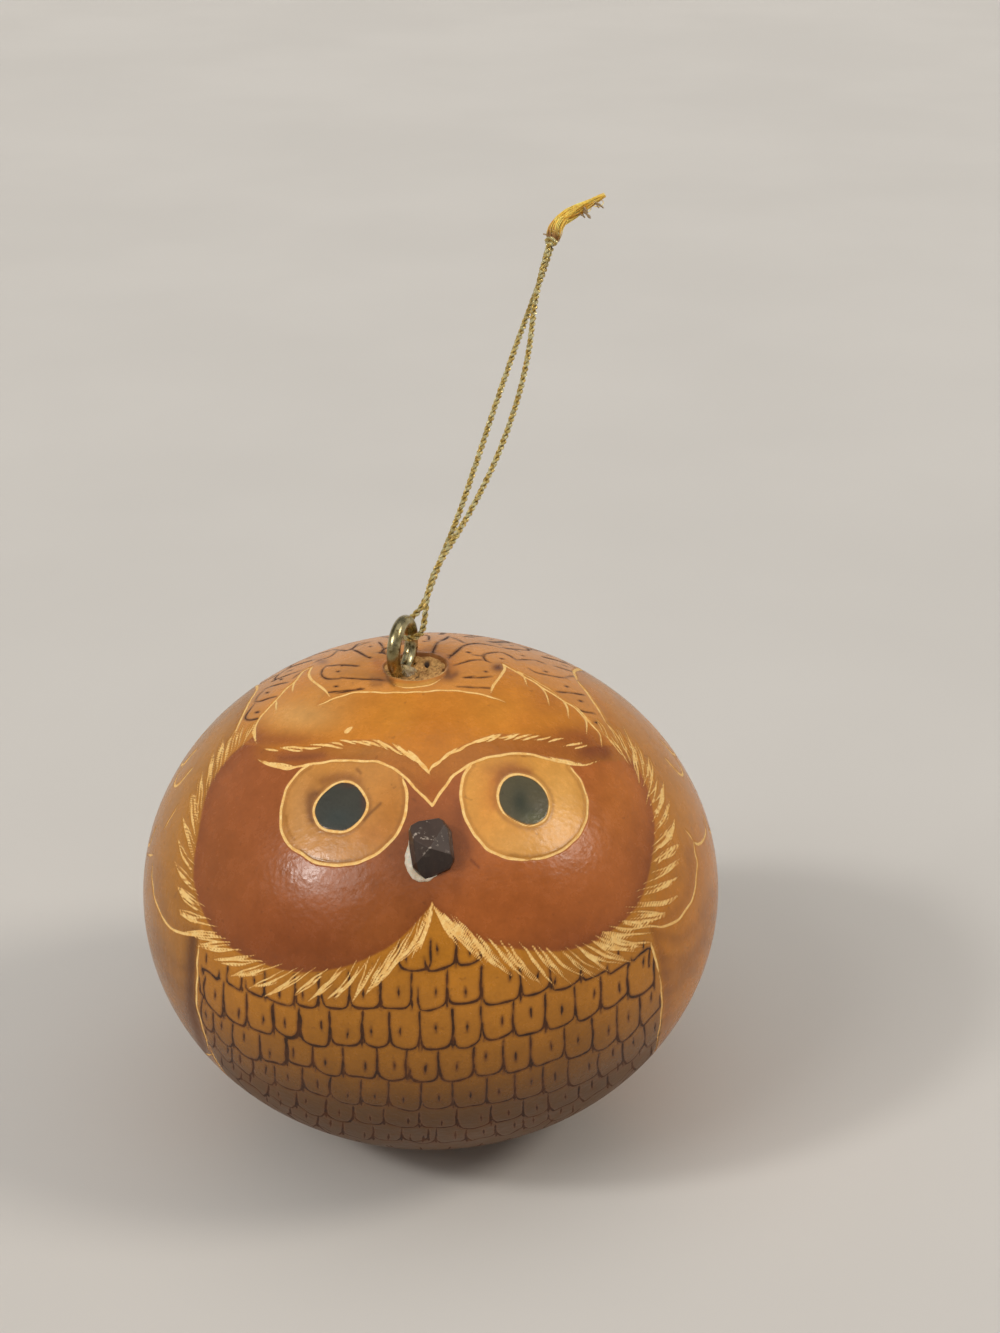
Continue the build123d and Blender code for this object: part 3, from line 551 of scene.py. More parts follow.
def seen(p):
    """How squarely the camera sees a point of the gourd."""
    n = p * [1 / A**2, 1 / A**2, 1 / C**2] - [0, 0, ZC / C**2]
    n /= np.linalg.norm(n, axis=-1, keepdims=True)
    v = EYE - p
    v /= np.linalg.norm(v, axis=-1, keepdims=True)
    return (n * v).sum(-1)


def arc_line(lonlat, half, start=0.05, end=0.05, field=None, wobble=0.15):
    p = smooth(np.array(lonlat, float), 0.7)
    q = globe(p[:, 0], p[:, 1])
    draw(cut if field is None else field, q, widths(len(q), half, start, end, wobble))


for sgn, wing in ((-1, left_wing), (1, right_wing)):
    rear = [p for p in wing if abs(p[0]) > 84 and not (p[1] > 50 and abs(p[0]) < 100)]
    rear = sorted(rear, key=lambda p: p[1])
    arc_line(rear, 0.19)
    front = [p for p in wing if p[1] < -18 and abs(p[0]) < 96]
    arc_line(sorted(front, key=lambda p: -p[1]), 0.15)
    # coverts: small scallops that carry on from the shoulder, then long flight feathers
    start = 85.5 if sgn > 0 else 84
    for k in range(6):
        a0 = start + k * 8.2
        top, low = 21 + 1.2 * k, 13.5 + 0.9 * k
        arc_line([(sgn * a0, top), (sgn * (a0 + 0.6), low + 2), (sgn * (a0 + 4), low), (sgn * (a0 + 7.6), low + 2), (sgn * (a0 + 8.2), top)], 0.17)
    for k in range(5):
        a0 = start + k * 9.0
        top, low = 37 + 0.8 * k, 29.5 + 0.8 * k
        arc_line([(sgn * a0, top), (sgn * (a0 + 0.8), low + 2), (sgn * (a0 + 4.5), low), (sgn * (a0 + 8.3), low + 2), (sgn * (a0 + 9.0), top)], 0.17)
    for k, (a0, low) in enumerate([(95, -50), (103, -43), (112, -34), (121, -22), (129, -7)]):
        arc_line([(sgn * a0, 12 + k), (sgn * (a0 + 2.5), -4 + k), (sgn * (a0 + 1), (low - 4) / 2 - 6 + k), (sgn * (a0 - 5 + 0.5 * k), low)], 0.17, 0.1, 0.2)
        # fine barbs along each flight feather
        for b in np.arange(8, low + 6, -3.2):
            arc_line([(sgn * (a0 + 1.8), b + k), (sgn * (a0 + 4.2), b + k - 2.2)], 0.1, 0.2, 0.6)
    # the upper edge of the wing
    arc_line([p for p in wing if p[1] > 43 and abs(p[0]) > 95], 0.17)

# scale rows all the way round, kept where the camera's own drawing doesn't reach
inked = PB.reshape(-1, 3)[burn.ravel() > -0.2]
lat_rows = [77.5, 70.0, 62.5, 55.0, 47.5, 40.0, 32.0, 24.0, 16.0, 8.0, 0.0, -8.5, -17.0, -25.5, -34.0, -42.5, -50.5, -58.0, -65.0]
for r, low in enumerate(lat_rows):
    top = lat_rows[r - 1] if r else 83.0
    around = 2 * math.pi * A * math.cos(math.radians((top + low) / 2))
    count = max(9, int(round(around / (4.1 if low > -45 else 3.7))))
    step = 360.0 / count
    for k in range(count):
        lon = (k + (r % 2) / 2) * step + rng.normal(0, 0.05) * step - 180
        w, h = step * rng.uniform(0.93, 1.0), top - low
        mid = globe(lon, (top + low) / 2)
        facing = seen(mid[None])[0]
        limit = 0.1 if low <= 45 else 0.3 if np.linalg.norm(inked - mid, axis=1).min() > 1.5 else 0.02
        if facing > (limit if low > -46 else 0.12):
            continue
        if wing_sd([lon], [low + 0.2 * h])[0] > -0.4:
            continue
        dy = rng.normal(0, 0.05) * h
        path = [
            (lon - w / 2, top + 0.05 * h), (lon - w / 2, low + 0.5 * h), (lon - 0.47 * w, low + 0.22 * h + dy), (lon - 0.33 * w, low + 0.05 * h + dy),
            (lon, low + dy), (lon + 0.33 * w, low + 0.05 * h + dy), (lon + 0.47 * w, low + 0.22 * h + dy), (lon + w / 2, low + 0.5 * h), (lon + w / 2, top + 0.05 * h),
        ]
        arc_line(path, rng.uniform(0.075, 0.12), 0.03, 0.03, field=burn, wobble=0.3)
        arc_line([(lon + w / 2, low + 0.3 * h), (lon + w / 2, low + 0.02 * h)], rng.uniform(0.12, 0.19), 0.5, 0.4, field=burn)
        dx = rng.normal(0, 0.06) * w
        arc_line([(lon + dx, low + 0.58 * h), (lon + dx, low + 0.36 * h)], rng.uniform(0.1, 0.14), 0.3, 0.4, field=burn)

cut, burn = from_blocks(cut), from_blocks(burn)

# ---------------------------------------------------------------- painting: dyed and scorched areas
flat_px = to_frame(P.reshape(-1, 3))
facing = seen(P.reshape(-1, 3))
front = facing > -0.02
lon, lat = LON.ravel(), GLAT.ravel()
n_all = len(lon)


def rgb(r, g, b):
    """A display colour to linear."""
    v = np.array([r, g, b]) / 255.0
    return np.where(v <= 0.04045, v / 12.92, ((v + 0.055) / 1.055) ** 2.4)


def step_at(x, lo, hi):
    t = np.clip((x - lo) / (hi - lo), 0, 1)
    return t * t * (3 - 2 * t)


def region(poly, margin=40):
    """A px outline's distance for points in front, far outside elsewhere."""
    poly = np.asarray(poly, float)
    lo, hi = poly.min(0) - margin, poly.max(0) + margin
    near = front & (flat_px > lo).all(1) & (flat_px < hi).all(1)
    out = np.full(n_all, -99.0)
    out[near] = poly_sd(poly, flat_px[near])
    return out


left_dye = [(255, 735), (232, 754), (213, 779), (204, 803), (199, 830), (194, 860), (193.5, 880), (198, 900), (205, 916), (214, 932), (227, 945), (242, 954), (260, 962.5), (281, 969.5), (301, 972.5), (320, 971.5), (342, 967.5), (365, 959), (386, 948.5), (408, 931), (426, 911), (432, 903)]
right_dye = [(438, 912), (452, 926), (484, 941), (519, 949), (559, 951), (594, 942), (626, 919), (643, 895), (653, 855), (655, 821), (647, 786), (631, 758), (602, 734)]
face_poly = np.vstack([
    smooth(left_dye, 12), smooth(right_dye, 12),
    smooth(right_ear[:0:-1], 12)[2:], smooth(right_ear_in, 8)[1:], smooth(forehead[::-1], 12)[1:], smooth(left_ear_in[::-1], 8)[1:], smooth(left_ear, 12)[1:],
])
face = region(face_poly)
above_brow = region([(200, 560), (700, 560), (700, 742), (620, 745), (586, 747), (565, 741), (547, 739), (526, 736), (499, 734), (476, 741), (461, 747), (447, 754), (436, 764), (429, 773), (416, 761), (399, 749), (379, 741), (357, 740), (333, 743), (299, 748), (275, 751), (255, 744), (200, 742)], 30)
lids = [(150, 752), (257, 760)] + eyelid[1:] + eyelid_r[1:] + [(700, 758), (700, 500), (150, 500)]
above_lid = region(lids, 30)
eye_l = region(list(left_eye) + shape([(1420, 430), (1350, 330), (600, 330)], 240, 720, 8.711))
eye_r = region(list(right_eye) + shape([(1335, 100), (560, 100)], 400, 740, 7.84))
pup_l, pup_r = region(smooth(left_pupil, 4, True)[:-1]), region(smooth(right_pupil, 4, True)[:-1])
wing = wing_sd(lon, lat)

PAINT_GAIN = np.array([1.0, 0.92, 0.62])
skin = rgb(186, 132, 66)
paint = np.tile(skin, (n_all, 1))


def lay(colour, mask):
    """One coat of dye."""
    global paint
    m = mask[:, None]
    paint = paint * (1 - m) + np.asarray(colour) * m


def dab(x, y, rx, ry, colour, strength, limit=None):
    """A soft patch of dye, placed in the frame."""
    m = np.exp(-(((flat_px[:, 0] - x) / rx) ** 2 + ((flat_px[:, 1] - y) / ry) ** 2)) * strength * front
    lay(colour, m if limit is None else m * limit)


def stain(path, width, colour, strength, limit=None):
    """A soft line of dye or scorch, placed in the frame."""
    c = smooth(path, 3)
    near = front & (flat_px > c.min(0) - 3 * width).all(1) & (flat_px < c.max(0) + 3 * width).all(1)
    q = flat_px[near]
    best = np.full(len(q), 1e9)
    for a0, b0 in zip(c[:-1], c[1:]):
        ab, v = b0 - a0, q - a0
        t0 = np.clip((v @ ab) / max(ab @ ab, 1e-9), 0, 1)
        e0 = v - t0[:, None] * ab
        best = np.minimum(best, (e0 * e0).sum(1))
    m = np.zeros(n_all)
    m[near] = np.exp(-best / width**2) * strength
    lay(colour, m if limit is None else m * limit)


# breast and back carry an ochre ground, the wings a smoother golden one
lay(rgb(184, 124, 46), step_at(-wing, -0.3, 0.3))
top = step_at(lat, 44, 60) * (1 - step_at(wing, -0.3, 0.3))
lay(rgb(206, 142, 78), top)
lay(rgb(164, 110, 38), step_at(wing, -0.2, 0.4))
# painted light: the right wing gets a lighter, warmer ground than the left, as if lit from the right
lay(rgb(188, 122, 40), step_at(wing, -0.2, 0.4) * step_at(lon, 30, 50) * (1 - step_at(lon, 100, 150)))
# long soft shades on the wings
band = 0.5 + 0.5 * np.sin(np.radians(np.abs(lon) * 9.0 + 14 * np.sin(np.radians(lat * 2.2)) + 0.9 * lat))
lay(rgb(150, 98, 42), step_at(wing, 0.5, 3) * step_at(-lat, -14, 12) * band**2 * 0.42)
lay(rgb(194, 138, 66), step_at(wing, 0.5, 3) * step_at(lat, 16, 30) * 0.35)
# soft darker layers on the wings, under the shoulder's curve
on_wing = step_at(wing, -0.3, 0.5)
for path in ([(110, 790), (150, 880), (200, 940), (250, 962), (300, 950)], [(118, 880), (160, 975), (225, 1045), (300, 1058)], [(150, 1000), (215, 1095), (300, 1145)], [(215, 1150), (300, 1225)]):
    stain(shape(path, 130, 760, 4.61), 6.0, rgb(126, 80, 28), 0.42, on_wing)
for path in ([(190, 895), (260, 920), (330, 880), (390, 800), (430, 700)], [(170, 1000), (240, 1012), (320, 990), (390, 900), (425, 820)], [(190, 1085), (270, 1055), (340, 1010), (400, 930)], [(200, 1170), (260, 1130), (330, 1060)]):
    stain(shape(path, 620, 740, 4.61), 6.0, rgb(134, 80, 26), 0.4, on_wing)
stain([(158, 868), (160, 900), (170, 920), (188, 929), (205, 932)], 5.0, rgb(140, 92, 44), 0.4, on_wing)
stain([(690, 850), (692, 880), (684, 902), (668, 918), (648, 922)], 5.0, rgb(150, 92, 40), 0.4, on_wing)
# scorched shade outside the breast's edges
stain([(193, 938), (191.5, 958), (191, 985), (191, 1003), (196, 1027), (205, 1053)], 6.5, rgb(92, 52, 20), 0.85, on_wing)
stain([(190, 1010), (196, 1035), (206, 1058)], 9, rgb(100, 60, 26), 0.5, on_wing)
stain([(652, 930), (658, 945), (663, 962), (667, 990), (667, 1012), (662, 1045)], 6.0, rgb(112, 64, 24), 0.45, on_wing)
for sgn, wg in ((-1, left_wing), (1, right_wing)):
    lay(rgb(108, 64, 28), np.exp(-(((wing - 0.3) / 1.3) ** 2)) * (wing > 0) * 0.4 * step_at(lon * sgn, 106, 124))

# face
inside = step_at(face, -1.2, 1.2)
lay(rgb(158, 92, 55), inside)
cheek = inside * (1 - step_at(above_brow, -2, 2))
right_side = step_at(flat_px[:, 0], 400, 500)
lay(rgb(173, 101, 56), cheek * right_side)
dab(250, 800, 55, 60, rgb(160, 96, 66), 0.6, cheek)
dab(300, 935, 90, 40, rgb(141, 76, 42), 0.75, cheek)
dab(395, 905, 50, 50, rgb(148, 86, 48), 0.6, cheek)
dab(420, 850, 26, 50, rgb(138, 80, 55), 0.6, cheek)
dab(460, 820, 20, 40, rgb(140, 82, 56), 0.55, cheek)
dab(520, 905, 70, 30, rgb(160, 90, 48), 0.6, cheek)
dab(575, 940, 60, 25, rgb(138, 74, 40), 0.6, cheek)
# painted light: a lighter orange patch at the right cheek's edge, the glow of the light from the right
dab(618, 795, 34, 55, rgb(194, 120, 62), 0.7, cheek)
dab(640, 880, 18, 50, rgb(146, 84, 46), 0.6, cheek)
dab(214, 868, 28, 70, rgb(134, 78, 46), 0.6, cheek)
dab(290, 950, 90, 22, rgb(124, 66, 34), 0.5, cheek)
dab(388, 932, 40, 24, rgb(160, 94, 50), 0.5, cheek)
# a darker rim where the dye pooled against the ruff
lay(rgb(124, 66, 34), cheek * np.exp(-((np.maximum(face, 0) / 7.0) ** 2)) * 0.45)
# forehead
up_face = inside * step_at(above_brow, -2, 2)
lay(rgb(202, 132, 54), up_face)
# painted highlight: a pale patch high on the left of the forehead, a window's reflection
dab(300, 715, 42, 18, rgb(213, 164, 112), 0.9, up_face)
dab(330, 690, 25, 14, rgb(208, 154, 96), 0.6, up_face)
dab(430, 730, 40, 30, rgb(196, 122, 44), 0.6, up_face)
dab(395, 715, 22, 22, rgb(208, 142, 62), 0.6, up_face)
dab(545, 700, 16, 12, rgb(176, 110, 52), 0.6, up_face)
dab(500, 712, 30, 16, rgb(208, 142, 64), 0.5, up_face)
dab(525, 722, 16, 14, rgb(196, 126, 56), 0.5, up_face)
dab(575, 735, 30, 9, rgb(150, 84, 48), 0.75, up_face)
dab(280, 740, 40, 8, rgb(150, 88, 58), 0.7, up_face)
dab(254, 738, 14, 13, rgb(152, 92, 58), 0.9, up_face)
# between brow and lid
between = inside * step_at(above_lid, -1.5, 1.5) * (1 - step_at(above_brow, -2, 2)) * step_at(flat_px[:, 0], 246, 272)
lay(rgb(176, 112, 54), between)
dab(300, 756, 40, 10, rgb(158, 94, 62), 0.8, between)
dab(360, 751, 40, 7, rgb(178, 122, 66), 0.7, between)
dab(545, 750, 30, 8, rgb(160, 96, 52), 0.7, between)
dab(590, 752, 16, 10, rgb(132, 74, 50), 0.8, between)
dab(432, 790, 18, 16, rgb(160, 90, 38), 0.8, between)
# darker smudges beside the lid, the beak and the brows
stain([(280, 758), (300, 757), (322, 755)], 4, rgb(120, 72, 62), 0.45, inside)
stain([(402, 770), (412, 778), (424, 792)], 4, rgb(150, 92, 40), 0.4, inside)
stain([(457, 800), (462, 830), (468, 850)], 5, rgb(128, 72, 46), 0.5, inside)
stain([(455, 820), (460, 860), (455, 890)], 6, rgb(132, 74, 42), 0.4, inside)
stain([(585, 742), (600, 746), (606, 752)], 7, rgb(118, 58, 40), 0.6, inside)
stain([(540, 738), (575, 741)], 4, rgb(140, 76, 40), 0.4, inside)
# eyes
for sd, pup, cx, cy, warm in ((eye_l, pup_l, 340.5, 806.5, 0), (eye_r, pup_r, 523.5, 799.5, 1)):
    ring = step_at(sd, -1.2, 1.2) * (1 - step_at(above_lid, -1.2, 1.2))
    lay(rgb(202, 144, 84) if not warm else rgb(217, 158, 86), ring)
    if not warm:
        dab(392, 812, 20, 34, rgb(188, 124, 56), 0.8, ring)
        dab(372, 835, 20, 14, rgb(196, 128, 74), 0.5, ring)
        dab(300, 815, 16, 42, rgb(206, 156, 112), 0.75, ring)
        dab(312, 795, 10, 12, rgb(150, 100, 66), 0.5, ring)
        dab(342, 852, 34, 13, rgb(186, 134, 88), 0.5, ring)
        dab(330, 778, 20, 6, rgb(160, 108, 66), 0.45, ring)
    else:
        dab(500, 772, 18, 9, rgb(178, 116, 66), 0.75, ring)
        dab(486, 800, 10, 26, rgb(214, 146, 74), 0.6, ring)
        dab(512, 765, 14, 6, rgb(160, 100, 60), 0.4, ring)
        dab(520, 846, 34, 13, rgb(224, 172, 112), 0.5, ring)
        # painted highlight: a pale patch on the right of the right eye ring, where the light from the right shines
        dab(562, 800, 24, 38, rgb(230, 178, 112), 0.8, ring)
    # a thin scorched edge round the pupil, and painted shade just inside the ring's carved edge
    lay(rgb(140, 88, 48), ring * np.exp(-(((sd - 3.0) / 1.6) ** 2)) * 0.35)
    lay(rgb(120, 78, 52), ring * np.exp(-(((pup + 3.2) / 2.0) ** 2)) * 0.4)
stain(shape([(660, 640), (620, 660), (600, 720), (605, 800), (625, 870)], 240, 720, 8.711), 4.5, rgb(104, 68, 58), 0.6, inside)
stain(shape([(720, 540), (800, 500), (920, 480), (1040, 520)], 240, 720, 8.711), 4, rgb(140, 90, 60), 0.5, inside)
stain(shape([(1225, 725), (1180, 770), (1120, 825), (1080, 870)], 240, 720, 8.711), 1.6, rgb(96, 58, 34), 0.6, inside)
stain(shape([(1020, 430), (1050, 460)], 240, 720, 8.711), 1.8, rgb(120, 74, 44), 0.6, inside)
# painted shadow: lines along the inside of the left eye ring, low on the left and along the bottom, where its groove
# casts shade
stain(shape([(400, 840), (410, 930), (440, 1010), (470, 1040)], 240, 720, 8.711), 2.0, rgb(146, 96, 30), 0.6, inside)
stain(shape([(530, 1140), (620, 1195), (740, 1225), (870, 1232), (960, 1222)], 240, 720, 8.711), 1.6, rgb(120, 84, 24), 0.6, inside)
stain(shape([(760, 320), (790, 270), (850, 235), (930, 235), (1010, 250)], 400, 740, 7.84), 4.5, rgb(150, 92, 56), 0.65, inside)
stain(shape([(730, 330), (720, 420), (740, 520)], 400, 740, 7.84), 5, rgb(190, 116, 58), 0.5, inside)
# painted shadow along the inside of the right eye ring's bottom, where its groove casts shade
stain(shape([(870, 900), (980, 915), (1120, 905), (1240, 865), (1350, 780)], 400, 740, 7.84), 2.0, rgb(150, 104, 44), 0.5, inside)
stain(shape([(560, 940), (600, 980), (620, 1000)], 400, 740, 7.84), 1.3, rgb(96, 44, 24), 0.6, inside)
pupil_l, pupil_r = step_at(pup_l, 0.2, 1.6), step_at(pup_r, 0.2, 1.6)
lay(rgb(58, 60, 62), pupil_l)
dab(338, 818, 16, 10, rgb(48, 62, 72), 0.6, pupil_l)
dab(364, 798, 3, 14, rgb(84, 52, 44), 0.7, pupil_l)
dab(350, 785, 10, 3, rgb(80, 52, 42), 0.6, pupil_l)
lay(rgb(84, 80, 68), pupil_r)
dab(520, 802, 9, 14, rgb(44, 52, 48), 0.85, pupil_r)
dab(528, 812, 10, 8, rgb(46, 56, 52), 0.5, pupil_r)
dab(536, 818, 12, 6, rgb(110, 116, 92), 0.35, pupil_r)
# darker close round the stem scar, painted shade of the hollow there, darkest at the recess's two ends; and dark marks
# behind the ears' tips
rim = np.hypot(P[..., 0] - RECESS[0], P[..., 1] - RECESS[1]).ravel()
up_top = lat > 60
lay(rgb(186, 118, 60), up_top * np.exp(-(((rim - 4.3) / 1.6) ** 2)) * 0.6)
stain([(372, 678), (384, 678), (392, 678)], 3.2, rgb(118, 80, 60), 0.7)
stain([(375, 660), (386, 664), (392, 672)], 4, rgb(160, 98, 62), 0.55)
stain([(418, 655), (432, 652), (446, 658), (451, 668)], 3.6, rgb(150, 92, 48), 0.55)
# painted shade at the recess's right end
stain([(447, 668), (451, 675), (456, 672)], 3.2, rgb(110, 66, 50), 0.7)
stain([(372, 684), (380, 683)], 3, rgb(140, 92, 56), 0.5)
dab(447, 676, 9, 5, rgb(120, 76, 52), 0.5)
dab(383, 668, 8, 5, rgb(150, 92, 58), 0.4)
dab(498, 667, 6, 4, rgb(96, 50, 34), 0.95)
dab(322, 661, 6, 3, rgb(120, 72, 50), 0.7)
dab(432, 668, 34, 4, rgb(190, 126, 62), 0.3)
stain([(397, 682.5), (406, 683.6), (416, 683), (427, 681.3), (434, 678.6)], 2.0, rgb(206, 156, 88), 0.75)
# painted shade at the recess's left and right ends
stain([(386.5, 672), (388, 677), (391, 681.5), (394, 683.5)], 2.0, rgb(104, 74, 46), 0.75)
stain([(447.5, 667), (448, 671), (446, 675)], 2.2, rgb(110, 72, 46), 0.7)
# painted shade: the front of the breast darkens towards the bottom, as if shaded from the light above
breast_shade = step_at(-np.abs(lon), -96, -58) * step_at(-wing, -0.5, 1.0) * step_at(-lat, -24, -12)
paint = paint * (1 + breast_shade * (-0.02 - 0.74 * step_at(-lat, -12, 25)))[:, None]
# underside
lay(rgb(160, 108, 58), step_at(-lat, 50, 70) * 0.8)
lay(rgb(196, 150, 96), step_at(-lat, 72, 76) * 0.7)

# carving sits on top of the burnt lines, and nothing is burnt inside the face or on the wings
burn = burn.ravel()
burn = np.where((face > -1.0) & front, -1.0, burn)
burn = np.where((wing > 0.0), -1.0, burn)
# a little leaner and redder than the display tones chosen above, because varnish adds its own light
paint = np.clip(paint, 0, 1) * PAINT_GAIN
cut = cut.ravel()

# ---------------------------------------------------------------- relief
waves = [(rng.normal(0, 1, 3), rng.uniform(0, 6.28)) for _ in range(10)]
lumps = sum(np.sin(P.reshape(-1, 3) @ (k / np.linalg.norm(k) * 0.16) + ph) for k, ph in waves) / 10.0
groove = -0.13 * step_at(cut, -0.08, 0.2) - 0.07 * step_at(burn, -0.06, 0.18)
lips = 0.02 * np.exp(-(((cut + 0.1) / 0.06) ** 2))
peel = sum(np.sin(P.reshape(-1, 3) @ (k / np.linalg.norm(k) * 2.4) + ph) for k, ph in waves) / 10.0
sunk = -0.25 * up_top * np.exp(-((np.maximum(rim - 4.2, 0) / 3.0) ** 2))
height = groove + lips + 0.16 * (lumps - 0.3) + 0.006 * peel + sunk
height = np.where(lat < -74, height * 0, height)
surface = (P.reshape(-1, 3) + N.reshape(-1, 3) * height[:, None]).reshape(NI, NA, 3)

# ---------------------------------------------------------------- ring stack: underside, outside, rim, bowl, neck, inside
rings = []  # (points at full count, level of thinning, paint, cut, burn)
sinp, cosp = np.sin(PHI), -np.cos(PHI)
zero = np.zeros(NA)


def flat_ring(r, z, centre=(0.0, 0.0), wob=None):
    rr = r if wob is None else r + wob
    return np.stack([centre[0] + rr * sinp, centre[1] + rr * cosp, z + zero], -1)


scar = rgb(120, 84, 52)
for r, lv in ((0.35, 6), (0.8, 5), (1.5, 5), (2.1, 4), (2.8, 4), (3.6, 3), (4.6, 3), (5.4, 3), (6.3, 2), (7.2, 2), (8.1, 2), (8.7, 2)):
    mixc = np.exp(-((r / 1.6) ** 2))
    rings.append((flat_ring(r, 0.28 * math.exp(-((r / 1.3) ** 2))), lv, rgb(190, 146, 94) * (1 - mixc) + scar * mixc, -1.0, -1.0))
paint3 = paint.reshape(NI, NA, 3)
cut2, burn2 = cut.reshape(NI, NA), burn.reshape(NI, NA)
for i in range(NI):
    r = RHO[i]
    lv = 0 if r > 18.8 else 1 if r > 9.4 else 2 if r > 4.9 else 3
    rings.append((surface[i], lv, paint3[i], cut2[i], burn2[i]))
outer_first, outer_last = 12, 12 + NI - 1
rim_wob = 0.06 * np.sin(3 * PHI + 0.7) + 0.05 * np.sin(7 * PHI + 2.0) + 0.03 * np.sin(17 * PHI)
top_ring = surface[-1]
pale = rgb(222, 178, 112)
worn = (1 - step_at(np.abs(np.degrees(PHI) - 8), 50, 74))[:, None]
brown = rgb(150, 98, 52)
# painted shade: the rim's two innermost rings darken going down into the recess, and the wall's two upper rings are as
# dark
for r, dz, col, c in ((4.12, -0.03, rgb(196, 140, 84), 0.0), (4.0, -0.1, pale, 0.3), (3.93, -0.22, pale, 0.3), (3.87, -0.4, rgb(196, 150, 92), 0.2), (3.78, -0.62, rgb(160, 112, 62), -1.0), (3.66, -0.85, rgb(128, 86, 48), -1.0)):
    col = col * worn + brown * (1 - worn)
    c = (c * worn - (1 - worn)).ravel()
    ring = flat_ring(r, 0.0, RECESS, rim_wob)
    ring[:, 2] = ZC + C * np.sqrt(1 - (ring[:, 0] ** 2 + ring[:, 1] ** 2) / A**2) + dz - 0.25
    rings.append((ring, 3, col, c, -1.0))
for z, col in ((62.0, rgb(120, 80, 46)), (61.0, rgb(120, 80, 46)), (60.4, rgb(150, 110, 70))):
    rings.append((flat_ring(3.405, z, RECESS), 3, col, -1.0, -1.0))
pith = rgb(206, 180, 140)
for r, lv in ((4.2, 3), (6.0, 4), (9.0, 4), (13.0, 4), (17.0, 4), (21.0, 4), (25.0, 4), (28.5, 4), (31.2, 4), (33.2, 4), (34.2, 4)):
    k = off_axis(np.array([r]))[0]
    rings.append((flat_ring(r, ZC + IN_C * math.sqrt(1 - min((r + 1.7 * k) / IN_A, 1) ** 2), RECESS * k), lv, pith, -1.0, -1.0))
for r, lv in ((34.2, 4), (33.0, 4), (30.5, 4), (27.0, 4), (23.0, 4), (19.0, 4), (15.0, 4), (11.0, 5), (7.5, 5), (4.5, 5), (2.0, 6), (0.7, 6)):
    rings.append((flat_ring(r, ZC - IN_C * math.sqrt(1 - (r / IN_A) ** 2)), lv, pith, -1.0, -1.0))

co, colour, a_cut, a_burn, index = [], [], [], [], []
count = 0
for pts, lv, col, c, b in rings:
    step = 1 << lv
    pts = pts[::step]
    n = len(pts)
    co.append(pts)
    colour.append(np.broadcast_to(col, (NA, 3))[::step] if np.ndim(col) > 1 else np.broadcast_to(col, (n, 3)))
    a_cut.append(c[::step] if np.ndim(c) else np.full(n, c))
    a_burn.append(b[::step] if np.ndim(b) else np.full(n, b))
    index.append((count, n))
    count += n
co.append(np.array([[0, 0, 0.3], [0, 0, ZC - IN_C]]))
colour.append(np.array([scar, pith]))
a_cut.append(np.full(2, -1.0))
a_burn.append(np.full(2, -1.0))
co = np.vstack(co)
quads, tris, quad_home, tri_home = [], [], [], []
for k in range(len(index) - 1):
    (s0, n0), (s1, n1) = index[k], index[k + 1]
    if n0 == n1:
        i = np.arange(n0)
        j = (i + 1) % n0
        quads.append(np.stack([s0 + i, s0 + j, s1 + j, s1 + i], 1))
        quad_home.append(np.full(n0, k))
    elif n0 > n1:  # thins out upwards
        f = n0 // n1
        i = np.arange(n1)
        j = (i + 1) % n1
        for m in range(f):
            a, b = s0 + i * f + m, s0 + (i * f + m + 1) % n0
            tris.append(np.stack([a, b, s1 + (i if m < f / 2 else j)], 1))
            tri_home.append(np.full(n1, k))
        tris.append(np.stack([s0 + i * f + f // 2, s1 + j, s1 + i], 1))
        tri_home.append(np.full(n1, k))
    else:
        f = n1 // n0
        i = np.arange(n0)
        j = (i + 1) % n0
        for m in range(f):
            a, b = s1 + i * f + m, s1 + (i * f + m + 1) % n1
            tris.append(np.stack([b, a, s0 + (i if m < f / 2 else j)], 1))
            tri_home.append(np.full(n0, k))
        tris.append(np.stack([s1 + i * f + f // 2, s0 + i, s0 + j], 1))
        tri_home.append(np.full(n0, k))
s0, n0 = index[0]
i = np.arange(n0)
tris.append(np.stack([np.full(n0, count), s0 + (i + 1) % n0, s0 + i], 1)[:, [0, 1, 2]])
tri_home.append(np.full(n0, 0))
s1, n1 = index[-1]
i = np.arange(n1)
tris.append(np.stack([np.full(n1, count + 1), s1 + i, s1 + (i + 1) % n1], 1))
tri_home.append(np.full(n1, len(index) - 1))
quads, tris = np.vstack(quads), np.vstack(tris)


def new_mesh(name, verts, faces):
    """faces is a list of integer arrays, each with one face a row."""
    me = bpy.data.meshes.new(name)
    loops = np.concatenate([f.ravel() for f in faces]).astype(np.int32)
    sizes = np.concatenate([np.full(len(f), f.shape[1]) for f in faces])
    me.vertices.add(len(verts))
    me.vertices.foreach_set("co", (np.asarray(verts, float) * MM).astype(np.float32).ravel())
    me.loops.add(len(loops))
    me.loops.foreach_set("vertex_index", loops)
    me.polygons.add(len(sizes))
    starts = np.concatenate([[0], np.cumsum(sizes)[:-1]]).astype(np.int32)
    me.polygons.foreach_set("loop_start", starts)
    me.polygons.foreach_set("use_smooth", np.ones(len(sizes), bool))
    me.update(calc_edges=True)
    me.validate(clean_customdata=False)
    ob = bpy.data.objects.new(name, me)
    scene.collection.objects.link(ob)
    return ob


def attribute(ob, name, kind, values):
    at = ob.data.attributes.new(name, kind, "POINT")
    key = "color" if "COLOR" in kind else "value"
    at.data.foreach_set(key, np.ascontiguousarray(values, np.float32).ravel())


gourd = new_mesh("gourd_skin", co, [quads, tris])
rgba = np.ones((len(co), 4))
rgba[:, :3] = np.vstack(colour)
attribute(gourd, "paint", "FLOAT_COLOR", rgba)
attribute(gourd, "cut", "FLOAT", np.concatenate(a_cut))
attribute(gourd, "burn", "FLOAT", np.concatenate(a_burn))

